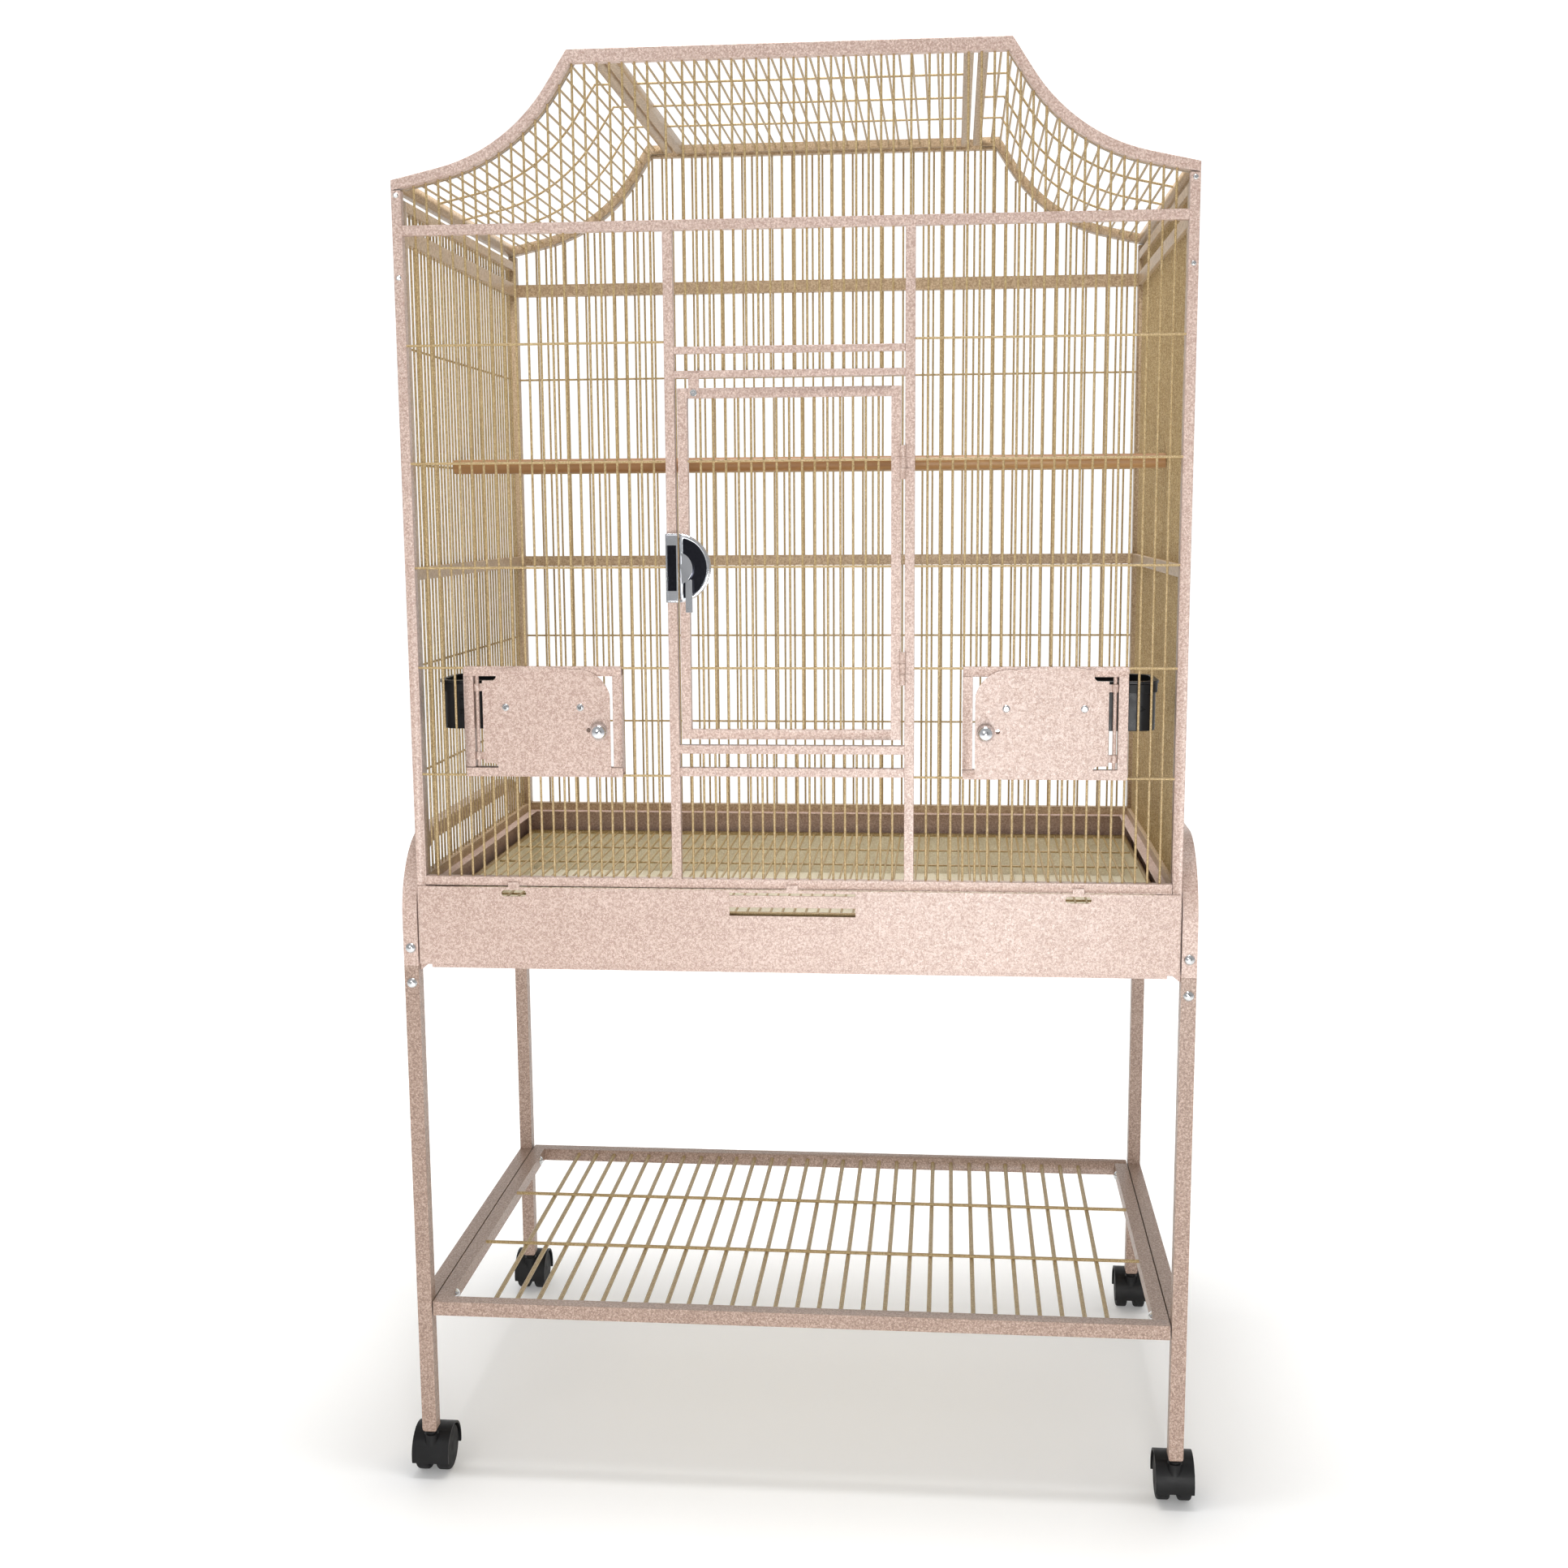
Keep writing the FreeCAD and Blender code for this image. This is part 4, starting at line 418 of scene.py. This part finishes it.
# The shelf frame, side ties and legs take the darker stand copy of the coat: painted shade.
for node in ["shelf_frame", "side_ties"]:
    finish_cad(node, STAND_SHADE, 0.0018, 3)
for node in NODES:
    if node.startswith("leg_"):
        finish_cad(node, STAND_SHADE, 0.0028, 4)
    elif node.startswith("stand_arch_"):
        finish_cad(node, SAND, 0.0028, 4)
    elif node.startswith("caster_hood"):
        finish_cad(node, BLACK, 0.0012, 3)
    elif node.startswith("caster_wheels"):
        finish_cad(node, TREAD, 0.0006)
SHEETS = [
    "base_housing", "drawer_front", "drawer_grip", "corner_gussets", "feeder_door_left",
    "feeder_door_right", "turn_button",
]
for node in SHEETS:
    finish_cad(node, SAND, 0.00035)
for node in ["door_hinge_brackets", "door_hinge_leaves"]:
    finish_cad(node, SAND, 0.0003)
# The sockets take the darker stand copy of the coat: painted shade.
finish_cad("stem_sockets", STAND_SHADE, 0.0003)
finish_cad("tray", TRAY, 0.0004)
RIVET_Y = FRONT_Y - 0.00155  # rivet heads stand in front of this
for side in ("left", "right"):
    mount = finish_cad(f"cup_ring_{side}", BLACK, 0.0003)
    mount.data.materials.append(ZINC)
    for face in mount.data.polygons:
        face.material_index = int(face.center.y < RIVET_Y)
    finish_cad(f"feed_cup_{side}", CUP, 0.0006, 3)
    finish_cad(f"feeder_knob_{side}", CHROME, 0.0003)
for node in ["latch_keeper", "latch_plate", "latch_lever"]:
    finish_cad(node, CHROME, 0.0005, 3)
for node in ["stand_bolts", "panel_screws", "turn_button_screw"]:
    finish_cad(node, ZINC, 0.0003)
finish_cad("perch", WOOD, 0.0008, 3)

# ---------------------------------------------------------------- latch dressing


def half_moon(low, high, inset, steps=28):
    """Outline of the latch plate, from the top of its straight side round to the bottom."""
    middle, tall, wide = (low.z + high.z) / 2, (high.z - low.z) / 2 - inset, high.x - low.x - inset
    turns = [math.pi * i / steps for i in range(steps + 1)]
    return [Vector((low.x + wide * math.sin(a), low.y, middle + tall * math.cos(a))) for a in turns]


def latch_dressing():
    """A raised rim on the latch plate, and thin dark plates of painted shade in the recesses on its face and
    on its keeper's.
    """
    rim_r, rim_inset, straight_inset, recess_inset = 0.0021, 0.0028, 0.0025, 0.004
    low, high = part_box("latch_plate")
    face_y = low.y
    outline = half_moon(low, high, rim_inset)
    for end in (0, -1):
        outline[end] = Vector((low.x + straight_inset, face_y, outline[end].z))
    bm = bmesh.new()
    bent_rod(bm, outline, rim_r)
    round_rod(bm, outline[-1], outline[0], rim_r)
    piece("latch_plate_rim", bm, CHROME, BODY_OF["latch_plate"])
    shade_inlay("latch_plate_recess_shade", half_moon(low, high, recess_inset), face_y, BODY_OF["latch_plate"])

    # The keeper's flat lies in the plate's plane, behind its lips, and a turned lever passes close by.
    low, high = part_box("latch_keeper")
    side_inset, end_inset, sunk = 0.0016, 0.012, 0.0002
    left, right = low.x + side_inset, high.x - side_inset
    foot, head = low.z + end_inset, high.z - end_inset
    corners = [Vector((x, 0, z)) for x, z in ((left, head), (right, head), (right, foot), (left, foot))]
    shade_inlay("latch_keeper_recess_shade", corners, face_y + sunk, BODY_OF["latch_keeper"])


def shade_inlay(name, outline, y, body):
    """A thin dark plate of painted shade on a face that looks forward, with its middle plane at y."""
    bm = bmesh.new()
    half = 0.0003
    front = [bm.verts.new((p.x, y - half, p.z)) for p in outline]
    back = [bm.verts.new((p.x, y + half, p.z)) for p in outline]
    bm.faces.new(front)
    bm.faces.new(list(reversed(back)))
    for i, start in enumerate(front):
        j = (i + 1) % len(front)
        bm.faces.new((start, back[i], back[j], front[j]))
    bmesh.ops.recalc_face_normals(bm, faces=bm.faces)
    piece(name, bm, SHADED, body, smooth=False)


latch_dressing()

# ---------------------------------------------------------------- stage


def floor_paint():
    """Matt paint with a faint drift in tone; its glow grows towards the backdrop."""
    pale = (0.93, 0.93, 0.925)
    m = Shading("floor_paint", Roughness=0.8)
    m.colour(m.ramp(m.noise(0.8, 2.0), (0.2, tuple(0.985 * c for c in pale)), (0.8, pale)))
    split = m.tree.nodes.new("ShaderNodeSeparateXYZ")
    m.link(m.place, split.inputs["Vector"])
    reach = m.tree.nodes.new("ShaderNodeMapRange")
    near_y, far_y, near_glow, far_glow = -0.2, 3.5, 0.1, 0.5
    reach.inputs["From Min"].default_value = near_y
    reach.inputs["From Max"].default_value = far_y
    reach.inputs["To Min"].default_value = near_glow
    reach.inputs["To Max"].default_value = far_glow
    m.link(split.outputs["Y"], reach.inputs["Value"])
    m.shader.inputs["Emission Color"].default_value = (1, 1, 1, 1)
    m.link(reach.outputs["Result"], m.shader.inputs["Emission Strength"])
    return m.material


def stage_floor():
    """A pale floor that sweeps up into a pale backdrop."""
    half, near, far, bend, high = 14.0, -14.0, 9.0, 3.0, 14.0
    sunk = 0.0005  # the wheels stand just clear of it
    steps, outline = 16, [(near, 0.0)]
    for i in range(steps + 1):
        a = math.pi / 2 * i / steps
        outline.append((far + bend * math.sin(a), bend * (1 - math.cos(a))))
    outline.append((far + bend, high))
    bm = bmesh.new()
    rows = [[bm.verts.new((x, y, z - sunk)) for x in (-half, half)] for y, z in outline]
    for a, b in zip(rows, rows[1:]):
        bm.faces.new((a[0], a[1], b[1], b[0]))
    floor = solid("floor", bm, floor_paint(), smooth=True)


def softbox(name, place, target, size, power):
    """A rectangular white light at `place`, turned towards `target`."""
    light = bpy.data.lights.new(name, "AREA")
    light.shape = "RECTANGLE"
    light.size, light.size_y = size
    light.energy = power
    obj = put_in_scene(name, light)
    obj.location = place
    obj.rotation_euler = (Vector(target) - Vector(place)).to_track_quat("-Z", "Y").to_euler()


def dark_card(name, place, size, material):
    """A dark panel behind the camera, seen only in polished metal."""
    bm = bmesh.new()
    corners = []
    for i, k in ((-1, -1), (1, -1), (1, 1), (-1, 1)):
        corners.append(bm.verts.new((place[0] + i * size[0] / 2, place[1], place[2] + k * size[1] / 2)))
    bm.faces.new(corners)
    card = solid(name, bm, material, smooth=False)
    card.visible_camera = card.visible_diffuse = card.visible_shadow = False


def lights():
    """A white room, three softboxes, and dark cards for the chrome to mirror."""
    world = bpy.data.worlds.new("studio")
    bpy.context.scene.world = world
    world.use_nodes = True
    world.node_tree.nodes["Background"].inputs["Color"].default_value = (1.0, 1.0, 1.0, 1)
    world.node_tree.nodes["Background"].inputs["Strength"].default_value = 0.44
    softbox("flash", (0.25, -2.3, 0.42), (0.15, 0, 0.7), (0.5, 0.78), power=23)
    softbox("key", (-1.2, -3.2, 2.4), (0, 0, 0.9), (1.6, 1.6), power=19)
    softbox("top", (0.0, -0.1, 3.2), (0, 0, 0.7), (1.0, 0.8), power=72)
    black = moulded("card_black", (0.01, 0.01, 0.012), 0.8)
    for i, x in enumerate((-2.4, -0.9, 1.5, 3.0)):
        dark_card(f"card_{i}", (x, -3.6, 1.2), (0.5, 4.0), black)
    dark_card("card_low", (0.3, -3.7, -0.1), (7.0, 0.5), black)


def camera():
    """A camera in front of the cage, a little to its right and above its middle."""
    eye = Vector((0.1645, FRONT_Y - 1.8682, 1.084))
    yaw, pitch, roll = -0.092, -0.150, -0.007
    ahead = Vector((math.sin(yaw) * math.cos(pitch), math.cos(yaw) * math.cos(pitch), math.sin(pitch)))
    right = Vector((math.cos(yaw), -math.sin(yaw), 0))
    up = right.cross(ahead)
    across = math.cos(roll) * right + math.sin(roll) * up
    above = -math.sin(roll) * right + math.cos(roll) * up
    turn = Matrix((across, above, -ahead)).transposed()
    data = bpy.data.cameras.new("camera")
    data.sensor_width = 36
    data.lens = 41.49
    data.clip_end = 60
    obj = put_in_scene("camera", data)
    obj.matrix_world = Matrix.Translation(eye) @ turn.to_4x4()
    bpy.context.scene.camera = obj


stage_floor()
lights()
camera()
bpy.context.scene.view_settings.view_transform = "Standard"
